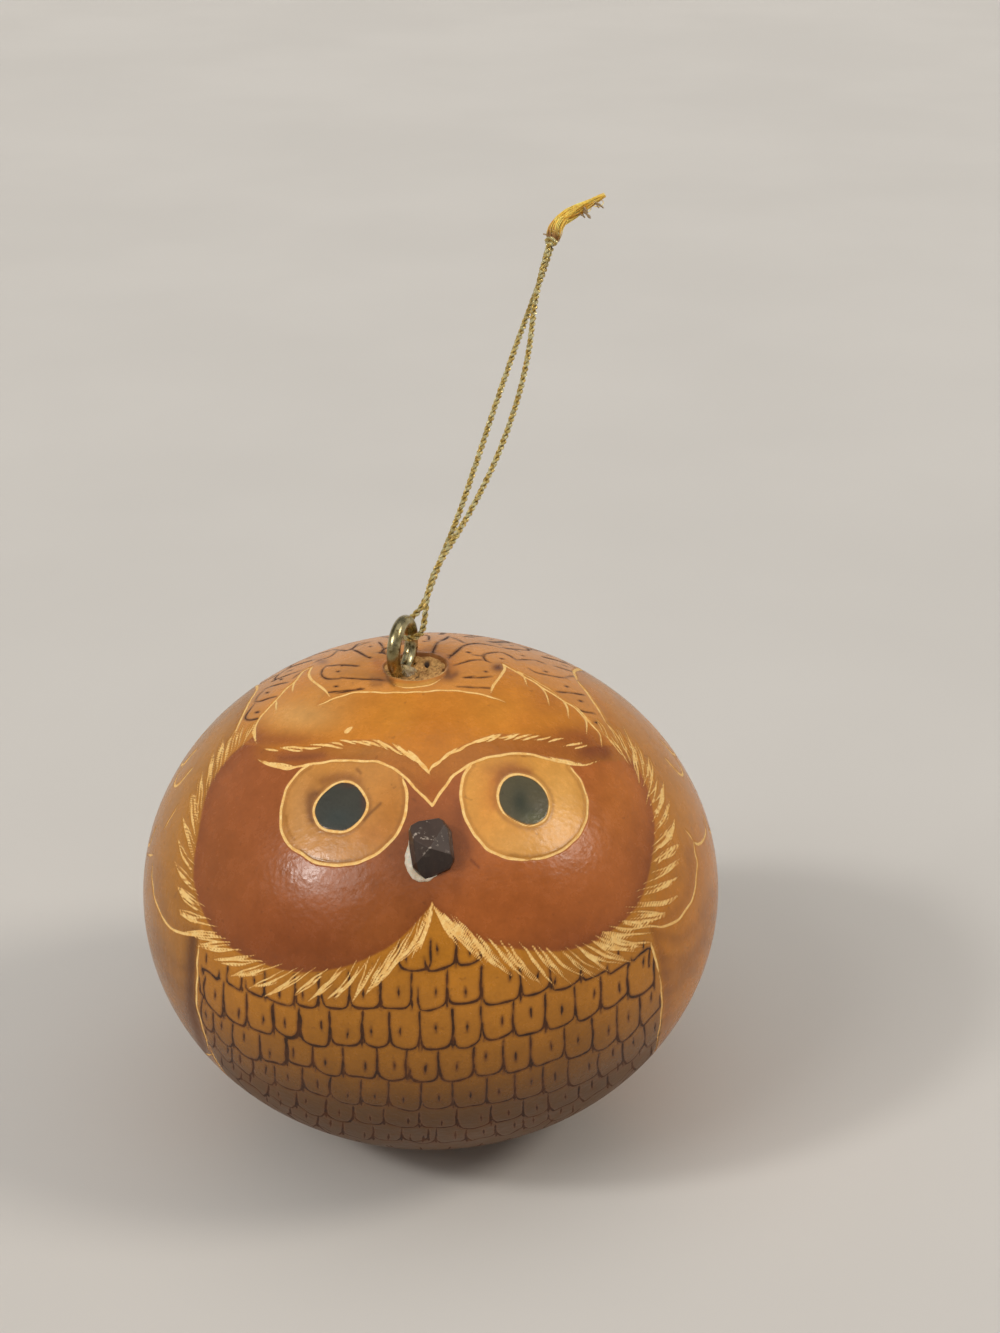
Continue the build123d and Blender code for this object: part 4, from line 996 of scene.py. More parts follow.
# the skin laid flat, in millimetres: a front and a back band, the caps above and below, and the inside at a quarter size
phi_of = np.concatenate([PHI[:: NA // n] for _, n in index] + [[0.0, 0.0]])
home_of = np.concatenate([np.full(n, k) for k, (_, n) in enumerate(index)] + [[0], [len(index) - 1]])
profile = np.array([(np.hypot(*(q - q.mean(0))[:, :2].T).mean(), q[:, 2].mean()) for q, *_ in rings])
run = profile[0, 0] + np.concatenate([[0], np.cumsum(np.hypot(*np.diff(profile, axis=0).T))])
run_of = run[home_of]
run_of[-2], run_of[-1] = 0.0, run[-1] + profile[-1, 0]
k_low, k_high = outer_first + np.searchsorted(LAT, math.radians(-50)), outer_first + np.searchsorted(LAT, math.radians(50))
k_neck, k_lower = NI + 20, NI + 32
tall_band = run[k_high] - run[k_low]
r_low, r_top = run[k_low], run[k_neck] - run[k_high] + 0.5
cap_x = math.pi * A + 5.0 + max(r_low, r_top)
sheet = max(cap_x + max(r_low, r_top) + 2.0, 2 * tall_band + 6.0 + 30.0)


def flat(faces, home):
    ph, far = phi_of[faces], run_of[faces]
    ph_b = np.where(ph < 0, ph + 2 * math.pi, ph)
    u, v = np.zeros(faces.shape), np.zeros(faces.shape)
    band = (home >= k_low) & (home < k_high)
    ahead = np.cos(ph).mean(1) > 0
    for mask, around, up in ((band & ahead, ph + math.pi / 2, 1.5), (band & ~ahead, ph_b - math.pi / 2, tall_band + 3.5)):
        u[mask], v[mask] = (A * around + 1.5)[mask], (far - run[k_low] + up)[mask]
    for mask, r, x, y in (
        (home < k_low, far, cap_x, r_low + 1.5),
        ((home >= k_high) & (home < k_neck), run[k_neck] - far + 0.5, cap_x, 2 * r_low + r_top + 3.5),
        ((home >= k_neck) & (home < k_lower), (far - run[k_neck] + 2.0) * 0.25, 16.0, 2 * tall_band + 20.0),
        (home >= k_lower, (run_of[-1] - far) * 0.25, 48.0, 2 * tall_band + 20.0),
    ):
        u[mask], v[mask] = (x + r * np.sin(ph))[mask], (y - r * np.cos(ph))[mask]
    return np.stack([u, v], -1).reshape(-1, 2) / sheet


layout = np.vstack([flat(quads, np.concatenate(quad_home)), flat(tris, np.concatenate(tri_home))])
if len(layout) == len(gourd.data.loops):
    gourd.data.uv_layers.new(name="OFBake").data.foreach_set("uv", layout.astype(np.float32).ravel())
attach(gourd, "gourd")
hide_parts("gourd_shell")

# ---------------------------------------------------------------- materials


class Nodes:
    """A small help for building a node material."""

    def __init__(self, name):
        self.mat = bpy.data.materials.new(name)
        self.mat.use_nodes = True
        self.tree = self.mat.node_tree
        self.tree.nodes.clear()
        self.out = self.add("OutputMaterial")
        self.bsdf = self.add("BsdfPrincipled")
        self.link(self.bsdf.outputs[0], self.out.inputs["Surface"])
        self.coord = self.add("TexCoord").outputs["Object"]

    def add(self, kind, **props):
        n = self.tree.nodes.new("ShaderNode" + kind)
        for k, v in props.items():
            setattr(n, k, v)
        return n

    def link(self, a, b):
        self.tree.links.new(a, b)

    def put(self, socket, value):
        if isinstance(value, bpy.types.NodeSocket):
            self.link(value, socket)
        else:
            socket.default_value = value

    def set(self, **values):
        for k, v in values.items():
            self.put(self.bsdf.inputs[k.replace("_", " ")], v)

    def noise(self, scale, detail=3.0, rough=0.55, distort=0.0, coord=None):
        n = self.add("TexNoise")
        self.link(coord or self.coord, n.inputs["Vector"])
        n.inputs["Scale"].default_value = scale
        n.inputs["Detail"].default_value = detail
        n.inputs["Roughness"].default_value = rough
        n.inputs["Distortion"].default_value = distort
        return n.outputs["Fac"]

    def stretch(self, scale, rotation=(0, 0, 0)):
        n = self.add("Mapping")
        self.link(self.coord, n.inputs["Vector"])
        n.inputs["Scale"].default_value = scale
        n.inputs["Rotation"].default_value = rotation
        return n.outputs[0]

    def attr(self, name, out="Fac"):
        return self.add("Attribute", attribute_name=name).outputs[out]

    def math(self, op, a, b=0.0, c=0.0, clamp=False):
        n = self.add("Math", operation=op, use_clamp=clamp)
        for s, v in zip(n.inputs, (a, b, c)):
            self.put(s, v)
        return n.outputs[0]

    def ramp(self, value, lo, hi, out_lo=0.0, out_hi=1.0, smooth=True):
        n = self.add("MapRange", interpolation_type="SMOOTHSTEP" if smooth else "LINEAR")
        self.put(n.inputs["Value"], value)
        for k, v in (("From Min", lo), ("From Max", hi), ("To Min", out_lo), ("To Max", out_hi)):
            n.inputs[k].default_value = v
        return n.outputs["Result"]

    def mix(self, fac, a, b, blend="MIX"):
        n = self.add("Mix", data_type="RGBA", blend_type=blend)
        self.put(n.inputs[0], fac)
        for s, v in ((n.inputs[6], a), (n.inputs[7], b)):
            self.put(s, (*v, 1.0) if isinstance(v, (tuple, list, np.ndarray)) and len(v) == 3 else v)
        return n.outputs[2]

    def bump(self, height, strength, distance, under=None):
        n = self.add("Bump")
        n.inputs["Strength"].default_value = strength
        n.inputs["Distance"].default_value = distance
        self.link(height, n.inputs["Height"])
        if under is not None:
            self.link(under, n.inputs["Normal"])
        return n.outputs[0]


def col(r, g, b):
    return tuple(float(v) for v in rgb(r, g, b))


m = Nodes("gourd_skin")
paint_c = m.attr("paint", "Color")
blotch = m.noise(55, 5, 0.6, 0.6)
grain = m.noise(420, 4, 0.65)
specks = m.noise(2300, 2, 0.5)
tone = m.math("ADD", m.ramp(blotch, 0.3, 0.7, 0.86, 1.1, False), m.ramp(grain, 0.3, 0.7, -0.09, 0.09, False))
tone = m.math("ADD", tone, m.ramp(specks, 0.25, 0.75, -0.05, 0.05, False))
toned = m.add("VectorMath", operation="SCALE")
m.link(paint_c, toned.inputs[0])
m.link(tone, toned.inputs["Scale"])
ground = toned.outputs[0]
freckle = m.ramp(m.noise(760, 2, 0.5, 0.3), 0.70, 0.75)
ground = m.mix(m.math("MULTIPLY", freckle, 0.25), ground, col(96, 54, 26))
edge = m.noise(1900, 3, 0.6)
ragged = m.ramp(edge, 0.2, 0.8, -0.04, 0.04, False)
burn_a = m.math("ADD", m.attr("burn"), ragged)
cut_a = m.math("ADD", m.attr("cut"), ragged)
halo = m.ramp(m.attr("burn"), -0.5, 0.04)
halo = m.math("MULTIPLY", m.math("POWER", halo, 2.0), m.ramp(blotch, 0.3, 0.7, 0.4, 0.85, False))
ground = m.mix(halo, ground, col(112, 66, 24))
char = m.mix(m.ramp(grain, 0.3, 0.7), col(40, 20, 8), col(84, 44, 16))
burn_m = m.ramp(burn_a, -0.05, 0.07)
surface_c = m.mix(m.math("MULTIPLY", burn_m, 0.94), ground, char)
fibre = m.noise(1300, 4, 0.7, 0.4)
pale_c = m.mix(m.ramp(fibre, 0.25, 0.7), col(236, 178, 94), col(253, 216, 142))
# a cut is pale along its floor and tan on its flanks, so that close cuts still read one by one
pale_c = m.mix(m.ramp(m.attr("cut"), -0.02, 0.055), col(205, 141, 67), pale_c)
cut_m = m.ramp(cut_a, -0.04, 0.04)
surface_c = m.mix(cut_m, surface_c, pale_c)
worked = m.math("MAXIMUM", burn_m, cut_m)
peel_n = m.noise(1500, 2, 0.45)
peel_big = m.noise(620, 2, 0.45)
grey = m.add("RGBToBW")
m.link(paint_c, grey.inputs[0])
rough = m.math("ADD", m.ramp(grain, 0.3, 0.7, 0.2, 0.31, False), m.math("MULTIPLY", worked, 0.3))
rough = m.math("ADD", rough, m.ramp(grey.outputs[0], 0.03, 0.09, 0.3, 0.0))
tall = m.math("ADD", m.math("MULTIPLY", peel_n, 0.5), m.math("MULTIPLY", peel_big, 0.6))
tall = m.math("ADD", tall, m.math("MULTIPLY", m.math("MULTIPLY", fibre, worked), 0.8))
m.set(Base_Color=surface_c, Roughness=rough, Normal=m.bump(tall, 0.65, 0.00012))
m.bsdf.inputs["Specular IOR Level"].default_value = 0.3
gourd.data.materials.append(m.mat)

# metal of the screw eye
m = Nodes("gold_wire")
scuff = m.noise(900, 4, 0.6)
tarnish = m.noise(300, 4, 0.6, 0.5)
base = m.mix(m.ramp(tarnish, 0.35, 0.68), col(196, 184, 142), col(132, 120, 82))
base = m.mix(m.ramp(m.noise(620, 4, 0.65), 0.5, 0.66), base, col(80, 62, 30))
m.set(Base_Color=base, Metallic=1.0, Roughness=m.ramp(scuff, 0.3, 0.75, 0.20, 0.36, False), Normal=m.bump(scuff, 0.3, 0.00006))
wire_mat = m.mat

# dark beak
m = Nodes("beak_wood")
streak = m.noise(380, 5, 0.65, 0.2, m.stretch((1.0, 0.25, 0.25), (0, 0, 0.5)))
scuffs = m.ramp(m.noise(1000, 4, 0.7), 0.56, 0.66)
base = m.mix(m.ramp(streak, 0.3, 0.7), col(30, 20, 16), col(58, 43, 35))
# painted light: the upward-facing facets are laid lighter, as if lit from above
base = m.mix(m.math("MULTIPLY", m.attr("upper"), 0.32), base, col(108, 90, 80))
# pale scuffs, wear, kept mostly to the upward facets, where they also brighten them as painted light
base = m.mix(m.math("MULTIPLY", scuffs, m.ramp(m.attr("upper"), 0.1, 0.8, 0.05, 0.75)), base, col(196, 182, 166))
m.set(Base_Color=base, Roughness=m.ramp(streak, 0.3, 0.7, 0.26, 0.42, False), Normal=m.bump(streak, 0.3, 0.00006))
m.bsdf.inputs["Specular IOR Level"].default_value = 0.38
beak_mat = m.mat

# white wood glue, dirty in places
m = Nodes("white_glue")
dirt = m.noise(700, 4, 0.6)
base = m.mix(m.ramp(dirt, 0.35, 0.75), col(224, 214, 196), col(196, 172, 138))
m.set(Base_Color=base, Roughness=0.42, Normal=m.bump(dirt, 0.3, 0.0001))
m.bsdf.inputs["Subsurface Weight"].default_value = 0.15
m.bsdf.inputs["Subsurface Scale"].default_value = 0.0006
glue_mat = m.mat

# set clear glue, yellowed, over fibres
m = Nodes("clear_glue")
cloud = m.noise(900, 4, 0.6, 0.4)
base = m.mix(m.ramp(cloud, 0.3, 0.72), col(206, 186, 140), col(128, 98, 62))
m.set(Base_Color=base, Roughness=0.12, Normal=m.bump(cloud, 0.4, 0.00012))
m.bsdf.inputs["Coat Weight"].default_value = 0.8
m.bsdf.inputs["Coat Roughness"].default_value = 0.05
clear_mat = m.mat

# pith of the stem
m = Nodes("stem_pith")
strands_n = m.noise(1500, 5, 0.7, 1.2)
hole_shade_n = m.noise(620, 3, 0.6, 0.6)
base = m.mix(m.ramp(strands_n, 0.3, 0.7), col(148, 100, 48), col(222, 174, 104))
# painted shade: dark flecks standing for holes in the pith, and darker colour down in its pits
base = m.mix(m.ramp(hole_shade_n, 0.6, 0.72), base, col(104, 74, 36))
base = m.mix(m.ramp(m.attr("pit_shade"), 0.0, 1.0), base, col(60, 38, 22))
m.set(Base_Color=base, Roughness=0.72, Normal=m.bump(strands_n, 0.6, 0.0002))
pith_mat = m.mat

# metallic thread, with painted glints and painted shade in the grooves between its strands
m = Nodes("gold_cord")
wrap = m.add("TexWave", wave_type="BANDS", bands_direction="X", wave_profile="SIN")
wrap.inputs["Scale"].default_value = 1.0
wrap.inputs["Distortion"].default_value = 0.0
uv = m.attr("thread", "Vector")
m.link(uv, wrap.inputs["Vector"])
glint = m.noise(2600, 2, 0.6)
base = m.mix(m.ramp(glint, 0.35, 0.65), col(226, 182, 80), col(254, 230, 146))
base = m.mix(m.ramp(m.attr("outer"), 0.4, 0.74), col(120, 92, 38), base)
base = m.mix(m.math("MULTIPLY", m.ramp(m.attr("bead"), 0.36, 0.6), m.ramp(m.attr("outer"), 0.45, 0.8)), base, col(255, 243, 184))
m.set(Base_Color=base, Metallic=0.45, Roughness=m.ramp(glint, 0.3, 0.7, 0.2, 0.34, False), Normal=m.bump(wrap.outputs["Fac"], 0.9, 0.00008))
cord_mat = m.mat

# frayed ends
m = Nodes("yellow_fray")
tuft_n = m.noise(900, 3, 0.6)
base = m.mix(m.ramp(tuft_n, 0.3, 0.7), col(255, 208, 60), col(255, 240, 128))
base = m.mix(m.ramp(m.attr("tint"), 0.68, 0.76), base, col(224, 156, 26))
base = m.mix(m.ramp(m.attr("root"), 0.2, 0.75), base, col(150, 96, 22))
base = m.mix(m.ramp(m.attr("root"), 0.9, 1.0), base, col(168, 142, 104))
m.set(Base_Color=base, Roughness=0.5)
m.bsdf.inputs["Sheen Weight"].default_value = 0.3
fray_mat = m.mat

# seeds
m = Nodes("seed_husk")
husk = m.noise(500, 4, 0.6, 0.3, m.stretch((1, 0.4, 1)))
m.set(Base_Color=m.mix(m.ramp(husk, 0.3, 0.7), col(150, 118, 78), col(206, 180, 134)), Roughness=0.6, Normal=m.bump(husk, 0.4, 0.0002))
seed_mat = m.mat


def only(ob, mat):
    ob.data.materials.clear()
    ob.data.materials.append(mat)


def smooth_faces(ob):
    ob.data.polygons.foreach_set("use_smooth", np.ones(len(ob.data.polygons), bool))


only(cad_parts["screw_eye"], wire_mat)
only(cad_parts["seeds"], seed_mat)

# ---------------------------------------------------------------- beak: the CAD block with its edges eased
b_lo, b_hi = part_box("beak")
beak_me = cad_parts["beak"].data.copy()
bm = bmesh.new()
bm.from_mesh(beak_me)
bmesh.ops.remove_doubles(bm, verts=bm.verts, dist=2e-6)
bmesh.ops.dissolve_limit(bm, angle_limit=math.radians(3), verts=bm.verts, edges=bm.edges)
sharp = [e for e in bm.edges if len(e.link_faces) == 2 and e.calc_face_angle() > math.radians(12)]
bmesh.ops.bevel(bm, geom=sharp, offset=0.00007, segments=2, profile=0.6, affect="EDGES", clamp_overlap=True)
bmesh.ops.triangulate(bm, faces=[f for f in bm.faces if len(f.verts) > 4])
bmesh.ops.recalc_face_normals(bm, faces=bm.faces)
bm.to_mesh(beak_me)
bm.free()
beak = bpy.data.objects.new("beak_block", beak_me)
scene.collection.objects.link(beak)
only(beak, beak_mat)
# upper: how squarely each point faces upwards, which the beak's painted light reads
attribute(beak, "upper", "FLOAT", np.clip([v.normal[2] * 1.2 for v in beak_me.vertices], 0, 1))
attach(beak, "gourd")
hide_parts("beak")

# ---------------------------------------------------------------- white glue, squeezed out under the beak
B_AT = np.array([-0.308, -29.057, 51.612])
B_N = np.array([B_AT[0] / A**2, B_AT[1] / A**2, (B_AT[2] - ZC) / C**2])
B_N /= np.linalg.norm(B_N)
B_X = np.array([1.0, 0, 0]) - B_N * B_N[0]
B_X /= np.linalg.norm(B_X)
B_Y = np.cross(B_N, B_X)


def beak_point(x, y, h):
    """Beak plane coordinates to a point, h above the gourd's surface."""
    p = B_AT + np.outer(x, B_X) + np.outer(y, B_Y)
    q = (p - [0, 0, ZC]) / [A, A, C]
    p = q / np.linalg.norm(q, axis=1, keepdims=True) * [A, A, C] + [0, 0, ZC]
    return p + B_N * np.asarray(h)[:, None]


bead = np.array([(-2.5, 1.03), (-2.78, 0.04), (-2.64, -1.15), (-2.3, -2.0), (-1.83, -2.55), (-1.21, -3.0), (-0.6, -2.92), (0.1, -2.86), (0.73, -2.35), (1.4, -1.8), (2.2, -1.2), (2.6, -0.4), (2.55, 0.8), (2.45, 2.2), (1.9, 3.3), (1.1, 3.7), (-0.6, 3.6), (-1.8, 3.1), (-2.2, 2.1)])
ang = np.unwrap(np.arctan2(bead[:, 1], bead[:, 0]))
order = np.argsort(ang % (2 * math.pi))
ang_s, rad_s = (ang % (2 * math.pi))[order], np.hypot(*bead.T)[order]
th = np.linspace(0, 2 * math.pi, 145)[:-1]
rad = np.interp(th, ang_s, rad_s, period=2 * math.pi)
rad = sum(np.roll(rad, k) for k in (-2, -1, 0, 1, 2)) / 5 + 0.03 * np.sin(19 * th) + 0.03 * np.sin(11 * th + 1)
fat = 0.42 + 0.08 * np.sin(3 * th + 2.2) + 0.05 * np.sin(9 * th)
verts, faces = [], []
levels = [(1.0, -0.35), (1.0, -0.06), (0.985, 0.08), (0.955, 0.2), (0.9, 0.32), (0.82, 0.4), (0.7, 0.44), (0.5, 0.46), (0.25, 0.46)]
for share, h in levels:
    hh = np.where(np.full(len(th), h) > 0, h * fat / 0.42, h)
    verts.append(beak_point(rad * share * np.cos(th), rad * share * np.sin(th), hh * (1 + 0.06 * np.sin(7 * th + share * 9))))
n = len(th)
i = np.arange(n)
for k in range(len(levels) - 1):
    faces.append(np.stack([k * n + i, k * n + (i + 1) % n, (k + 1) * n + (i + 1) % n, (k + 1) * n + i], 1))
verts.append(beak_point(np.array([0.0]), np.array([0.0]), np.array([0.46])))
verts.append(beak_point(np.array([0.0]), np.array([0.0]), np.array([-0.35])))
last = (len(levels) - 1) * n
cap = [np.stack([last + i, last + (i + 1) % n, np.full(n, len(levels) * n)], 1), np.stack([(i + 1) % n, i, np.full(n, len(levels) * n + 1)], 1)]
bead_ob = new_mesh("white_glue_bead", np.vstack(verts), [np.vstack(faces), np.vstack(cap)])
only(bead_ob, glue_mat)
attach(bead_ob, "gourd")
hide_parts("beak_glue")

# ---------------------------------------------------------------- stem core: broken fibres with the eye screwed in
rr = np.linspace(0, 3.96, 52)[1:]
nt = 200
tt = np.linspace(0, 2 * math.pi, nt + 1)[:-1]
ex, ey = -3.2 - RECESS[0], 0.0 - RECESS[1]  # the eye's place seen from the recess
cx, cy = np.outer(rr, np.cos(tt)), np.outer(rr, np.sin(tt))


def ripple(x, y, seed, f, n=9):
    r2 = np.random.default_rng(seed)
    return sum(np.sin((x * math.cos(q) + y * math.sin(q)) * f * s + ph) for q, s, ph in zip(r2.uniform(0, 6.28, n), r2.uniform(0.6, 1.6, n), r2.uniform(0, 6.28, n))) / n


rag = 0.20 * ripple(cx, cy, 3, 3.2) + 0.26 * np.abs(ripple(cx, cy, 5, 6.5)) + 0.12 * ripple(cx, cy, 8, 12) + 0.05 * ripple(cx, cy, 9, 22)
bowl = -0.05 + 0.62 * (np.hypot(cx, cy) / 3.9) ** 2.2
pits = -0.75 * np.exp(-(((cx - 1.4) / 0.3) ** 2 + ((cy - 2.3) / 0.75) ** 2)) - 0.5 * np.exp(-(((cx + 0.3) ** 2 + (cy - 2.6) ** 2) / 0.1)) - 0.7 * np.exp(-(((cx - 3.7) / 0.3) ** 2 + ((cy + 0.2) / 0.8) ** 2)) - 0.4 * np.exp(-(((cx + 0.2) / 0.5) ** 2 + ((cy + 2.6) / 0.25) ** 2))
splinter = 0.34 * np.exp(-(((cx - 1.8) / 0.4) ** 2 + ((cy - 0.6) / 0.9) ** 2)) + 0.28 * np.exp(-(((cx - 0.7) / 0.3) ** 2 + ((cy + 0.4) / 0.8) ** 2)) + 0.26 * np.exp(-(((cx - 2.7) / 0.3) ** 2 + ((cy - 0.9) / 0.8) ** 2))
near_eye = np.exp(-(((cx - ex) ** 2 + (cy - ey) ** 2) / 1.2))
hz = CORE_TOP - 0.02 + (rag * (1 - 0.5 * (np.hypot(cx, cy) / 3.96) ** 4) + bowl + pits + splinter) * (1 - 0.75 * near_eye)
rim_z = ZC + C * np.sqrt(1 - ((RECESS[0] + cx) ** 2 + (RECESS[1] + cy) ** 2) / A**2) - 0.34
hz = np.minimum(hz, rim_z + 0.12)
top_v = np.stack([RECESS[0] + cx, RECESS[1] + cy, hz], -1).reshape(-1, 3)
skirt = [np.stack([RECESS[0] + r0 * np.cos(tt), RECESS[1] + r0 * np.sin(tt), np.full(nt, z0)], -1) for r0, z0 in ((3.72, 62.16), (3.39, 61.95), (3.39, 57.6))]
cv = np.vstack([top_v, *skirt, [[RECESS[0], RECESS[1], hz[0].mean()]], [[RECESS[0], RECESS[1], 57.6]]])
i = np.arange(nt)
j = (i + 1) % nt
rows_n = len(rr) + len(skirt)
cf = [np.stack([k * nt + i, (k + 1) * nt + i, (k + 1) * nt + j, k * nt + j], 1) for k in range(rows_n - 1)]
ct = [np.stack([np.full(nt, len(cv) - 2), i, j], 1), np.stack([np.full(nt, len(cv) - 1), (rows_n - 1) * nt + j, (rows_n - 1) * nt + i], 1)]
core = new_mesh("stem_core_fibres", cv, [np.vstack(cf), np.vstack(ct)])
# painted shade: darker where the fibres dip into pits and hollows
pit_shade = np.concatenate([np.clip(-(rag + 1.3 * pits) * 2.0, 0, 1).ravel(), np.zeros(3 * nt + 2)])
attribute(core, "pit_shade", "FLOAT", pit_shade)
only(core, pith_mat)
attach(core, "gourd")
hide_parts("stem_core")

# ---------------------------------------------------------------- clear glue round the foot of the ring
gt = np.linspace(0, 2 * math.pi, 121)[:-1]
g_r = 1.75 + 0.22 * np.sin(2 * gt + 2.4) + 0.14 * np.sin(5 * gt + 0.4) + 0.07 * np.sin(11 * gt)
gx, gy = -3.45, -0.35
verts = []
g_levels = [(1.05, -0.35), (1.02, 0.0), (0.98, 0.18), (0.9, 0.36), (0.78, 0.5), (0.64, 0.62), (0.5, 0.74), (0.36, 0.82), (0.2, 0.86)]
for share, h in g_levels:
    x = gx + g_r * share * np.cos(gt)
    y = gy + g_r * share * np.sin(gt)
    # kept inside the bowl
    d = np.hypot(x - RECESS[0], y - RECESS[1])
    k = np.minimum(1, 3.62 / d)
    x, y = RECESS[0] + (x - RECESS[0]) * k, RECESS[1] + (y - RECESS[1]) * k
    verts.append(np.stack([x, y, CORE_TOP + h * (1 + 0.1 * np.sin(4 * gt + 3 * share)) + 0.0 * x], -1))
n = len(gt)
i = np.arange(n)
faces = [np.stack([k * n + i, k * n + (i + 1) % n, (k + 1) * n + (i + 1) % n, (k + 1) * n + i], 1) for k in range(len(g_levels) - 1)]
verts.append(np.array([[gx, gy, CORE_TOP + 0.88], [gx, gy, CORE_TOP - 0.35]]))
last = (len(g_levels) - 1) * n
cap = [np.stack([last + i, last + (i + 1) % n, np.full(n, len(g_levels) * n)], 1), np.stack([(i + 1) % n, i, np.full(n, len(g_levels) * n + 1)], 1)]
clear = new_mesh("clear_glue_blob", np.vstack(verts), [np.vstack(faces), np.vstack(cap)])
only(clear, clear_mat)
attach(clear, "gourd")
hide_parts("eye_glue")

# ---------------------------------------------------------------- cord loop
RING = np.array([-3.2, 0.0, 65.3])
lean = math.radians(37.5)
N_DIR = np.array([math.cos(math.radians(20)), -math.sin(math.radians(20)), 0.0])
H_DIR = np.array([math.sin(math.radians(20)), math.cos(math.radians(20)), 0.0])
U_DIR = H_DIR * math.cos(lean) + np.array([0, 0, 1.0]) * math.sin(lean)
W_DIR = np.cross(U_DIR, N_DIR)
W_DIR = W_DIR if W_DIR[2] > 0 else -W_DIR


def at_loop(u, n, w):
    return RING + U_DIR * u + N_DIR * n + W_DIR * w


route = [
    (64.0, 3.5, -0.54), (60.0, 3.5, -0.54), (54.5, 3.12, -0.50), (46.5, 2.85, -0.10), (37.0, 2.55, 0.05), (27.5, 2.30, -0.05),
    (19.5, 1.95, -0.30), (12.8, 1.20, -0.60), (8.9, 0.95, -0.85), (6.3, 0.30, -1.35), (4.9, -0.75, -1.55), (3.638, -1.47, -1.288),
    (2.489, -1.47, -0.881), (1.678, -0.609, -0.594), (1.678, 0.609, -0.594), (2.489, 1.47, -0.881), (3.638, 1.47, -1.288), (5.2, 1.40, -0.70),
    (7.6, 1.15, 0.20), (11.5, 1.35, 0.55), (18.5, 3.20, 0.30), (27.5, 4.75, 0.00), (37.0, 5.40, -0.05), (46.0, 5.05, 0.05),
    (53.0, 4.00, 0.50), (60.0, 3.50, 0.54), (64.0, 3.50, 0.54),
]
curve = bpy.data.curves.new("loop_route", "CURVE")
curve.dimensions = "3D"
curve.resolution_u = 24
sp = curve.splines.new("NURBS")
sp.points.add(len(route) - 1)
for pt, r in zip(sp.points, route):
    pt.co = (*(at_loop(*r) * MM), 1.0)
sp.order_u = 3
sp.use_endpoint_u = True
route_ob = bpy.data.objects.new("loop_route", curve)
scene.collection.objects.link(route_ob)
bpy.context.view_layer.update()
me = bpy.data.meshes.new_from_object(route_ob)
track = np.array([v.co for v in me.vertices], float) / MM
bpy.data.meshes.remove(me)
bpy.data.objects.remove(route_ob)


def resample(p, step):
    d = np.concatenate([[0], np.cumsum(np.linalg.norm(np.diff(p, axis=0), axis=1))])
    s = np.linspace(0, d[-1], max(2, int(d[-1] / step)))
    return np.stack([np.interp(s, d, p[:, k]) for k in range(3)], -1), s


def frames_along(p):
    """Directions across a path that don't twist about it."""
    t = np.gradient(p, axis=0)
    t /= np.linalg.norm(t, axis=1, keepdims=True)
    a = np.cross(t[0], [0.3, 0.5, 0.8])
    a /= np.linalg.norm(a)
    first = np.empty_like(p)
    for k in range(len(p)):
        a = a - t[k] * (a @ t[k])
        a /= np.linalg.norm(a)
        first[k] = a
    return t, first, np.cross(t, first)


def tube(p, radius, sides, twist=0.0, squash=1.0):
    """Vertices and faces of a closed tube along p. radius may vary along it."""
    t, a, b = frames_along(p)
    radius = np.broadcast_to(radius, (len(p),))
    th = np.linspace(0, 2 * math.pi, sides + 1)[:-1]
    ring = np.cos(th)[None, :, None] * a[:, None] + squash * np.sin(th)[None, :, None] * b[:, None]
    v = (p[:, None] + ring * radius[:, None, None]).reshape(-1, 3)
    i = np.arange(sides)
    j = (i + 1) % sides
    f = np.vstack([np.stack([k * sides + i, k * sides + j, (k + 1) * sides + j, (k + 1) * sides + i], 1) for k in range(len(p) - 1)])
    n = len(v)
    v = np.vstack([v, p[0] - t[0] * radius[0] * 0.4, p[-1] + t[-1] * radius[-1] * 0.4])
    e = (len(p) - 1) * sides
    c = np.vstack([np.stack([j, i, np.full(sides, n)], 1), np.stack([e + i, e + j, np.full(sides, n + 1)], 1)])
    return v, f, c


def gather(tubes):
    vs, qs, ts, off = [], [], [], 0
    for v, f, c in tubes:
        vs.append(v)
        qs.append(f + off)
        ts.append(c + off)
        off += len(v)
    return np.vstack(vs), [np.vstack(qs), np.vstack(ts)]


CORD_R = 0.5
fine, along = resample(track, 0.13)
t, a, b = frames_along(fine)
tubes = []
STRANDS, PITCH, LAY_R, STRAND_R = 2, 1.8, 0.2, 0.222
for k in range(STRANDS):
    th = along * 2 * math.pi / PITCH + 2 * math.pi * k / STRANDS
    wob = 1 + 0.06 * np.sin(along * 1.7 + k * 2)
    c = fine + (np.cos(th)[:, None] * a + np.sin(th)[:, None] * b) * (LAY_R * wob)[:, None]
    tubes.append(tube(c, STRAND_R * (1 + 0.06 * np.sin(along * 2.9 + k)), 8))
v, f = gather(tubes)
cord = new_mesh("gold_cord_loop", v, f)
thread = np.zeros((len(v), 3))
per = len(tubes[0][0])
for k in range(STRANDS):
    seg = thread[k * per : (k + 1) * per]
    seg[: len(along) * 8, 0] = np.repeat(along, 8) * 9 + np.tile(np.arange(8) / 8.0, len(along)) * 2 * 3.1416
attribute_v = cord.data.attributes.new("thread", "FLOAT_VECTOR", "POINT")
attribute_v.data.foreach_set("vector", thread.astype(np.float32).ravel())
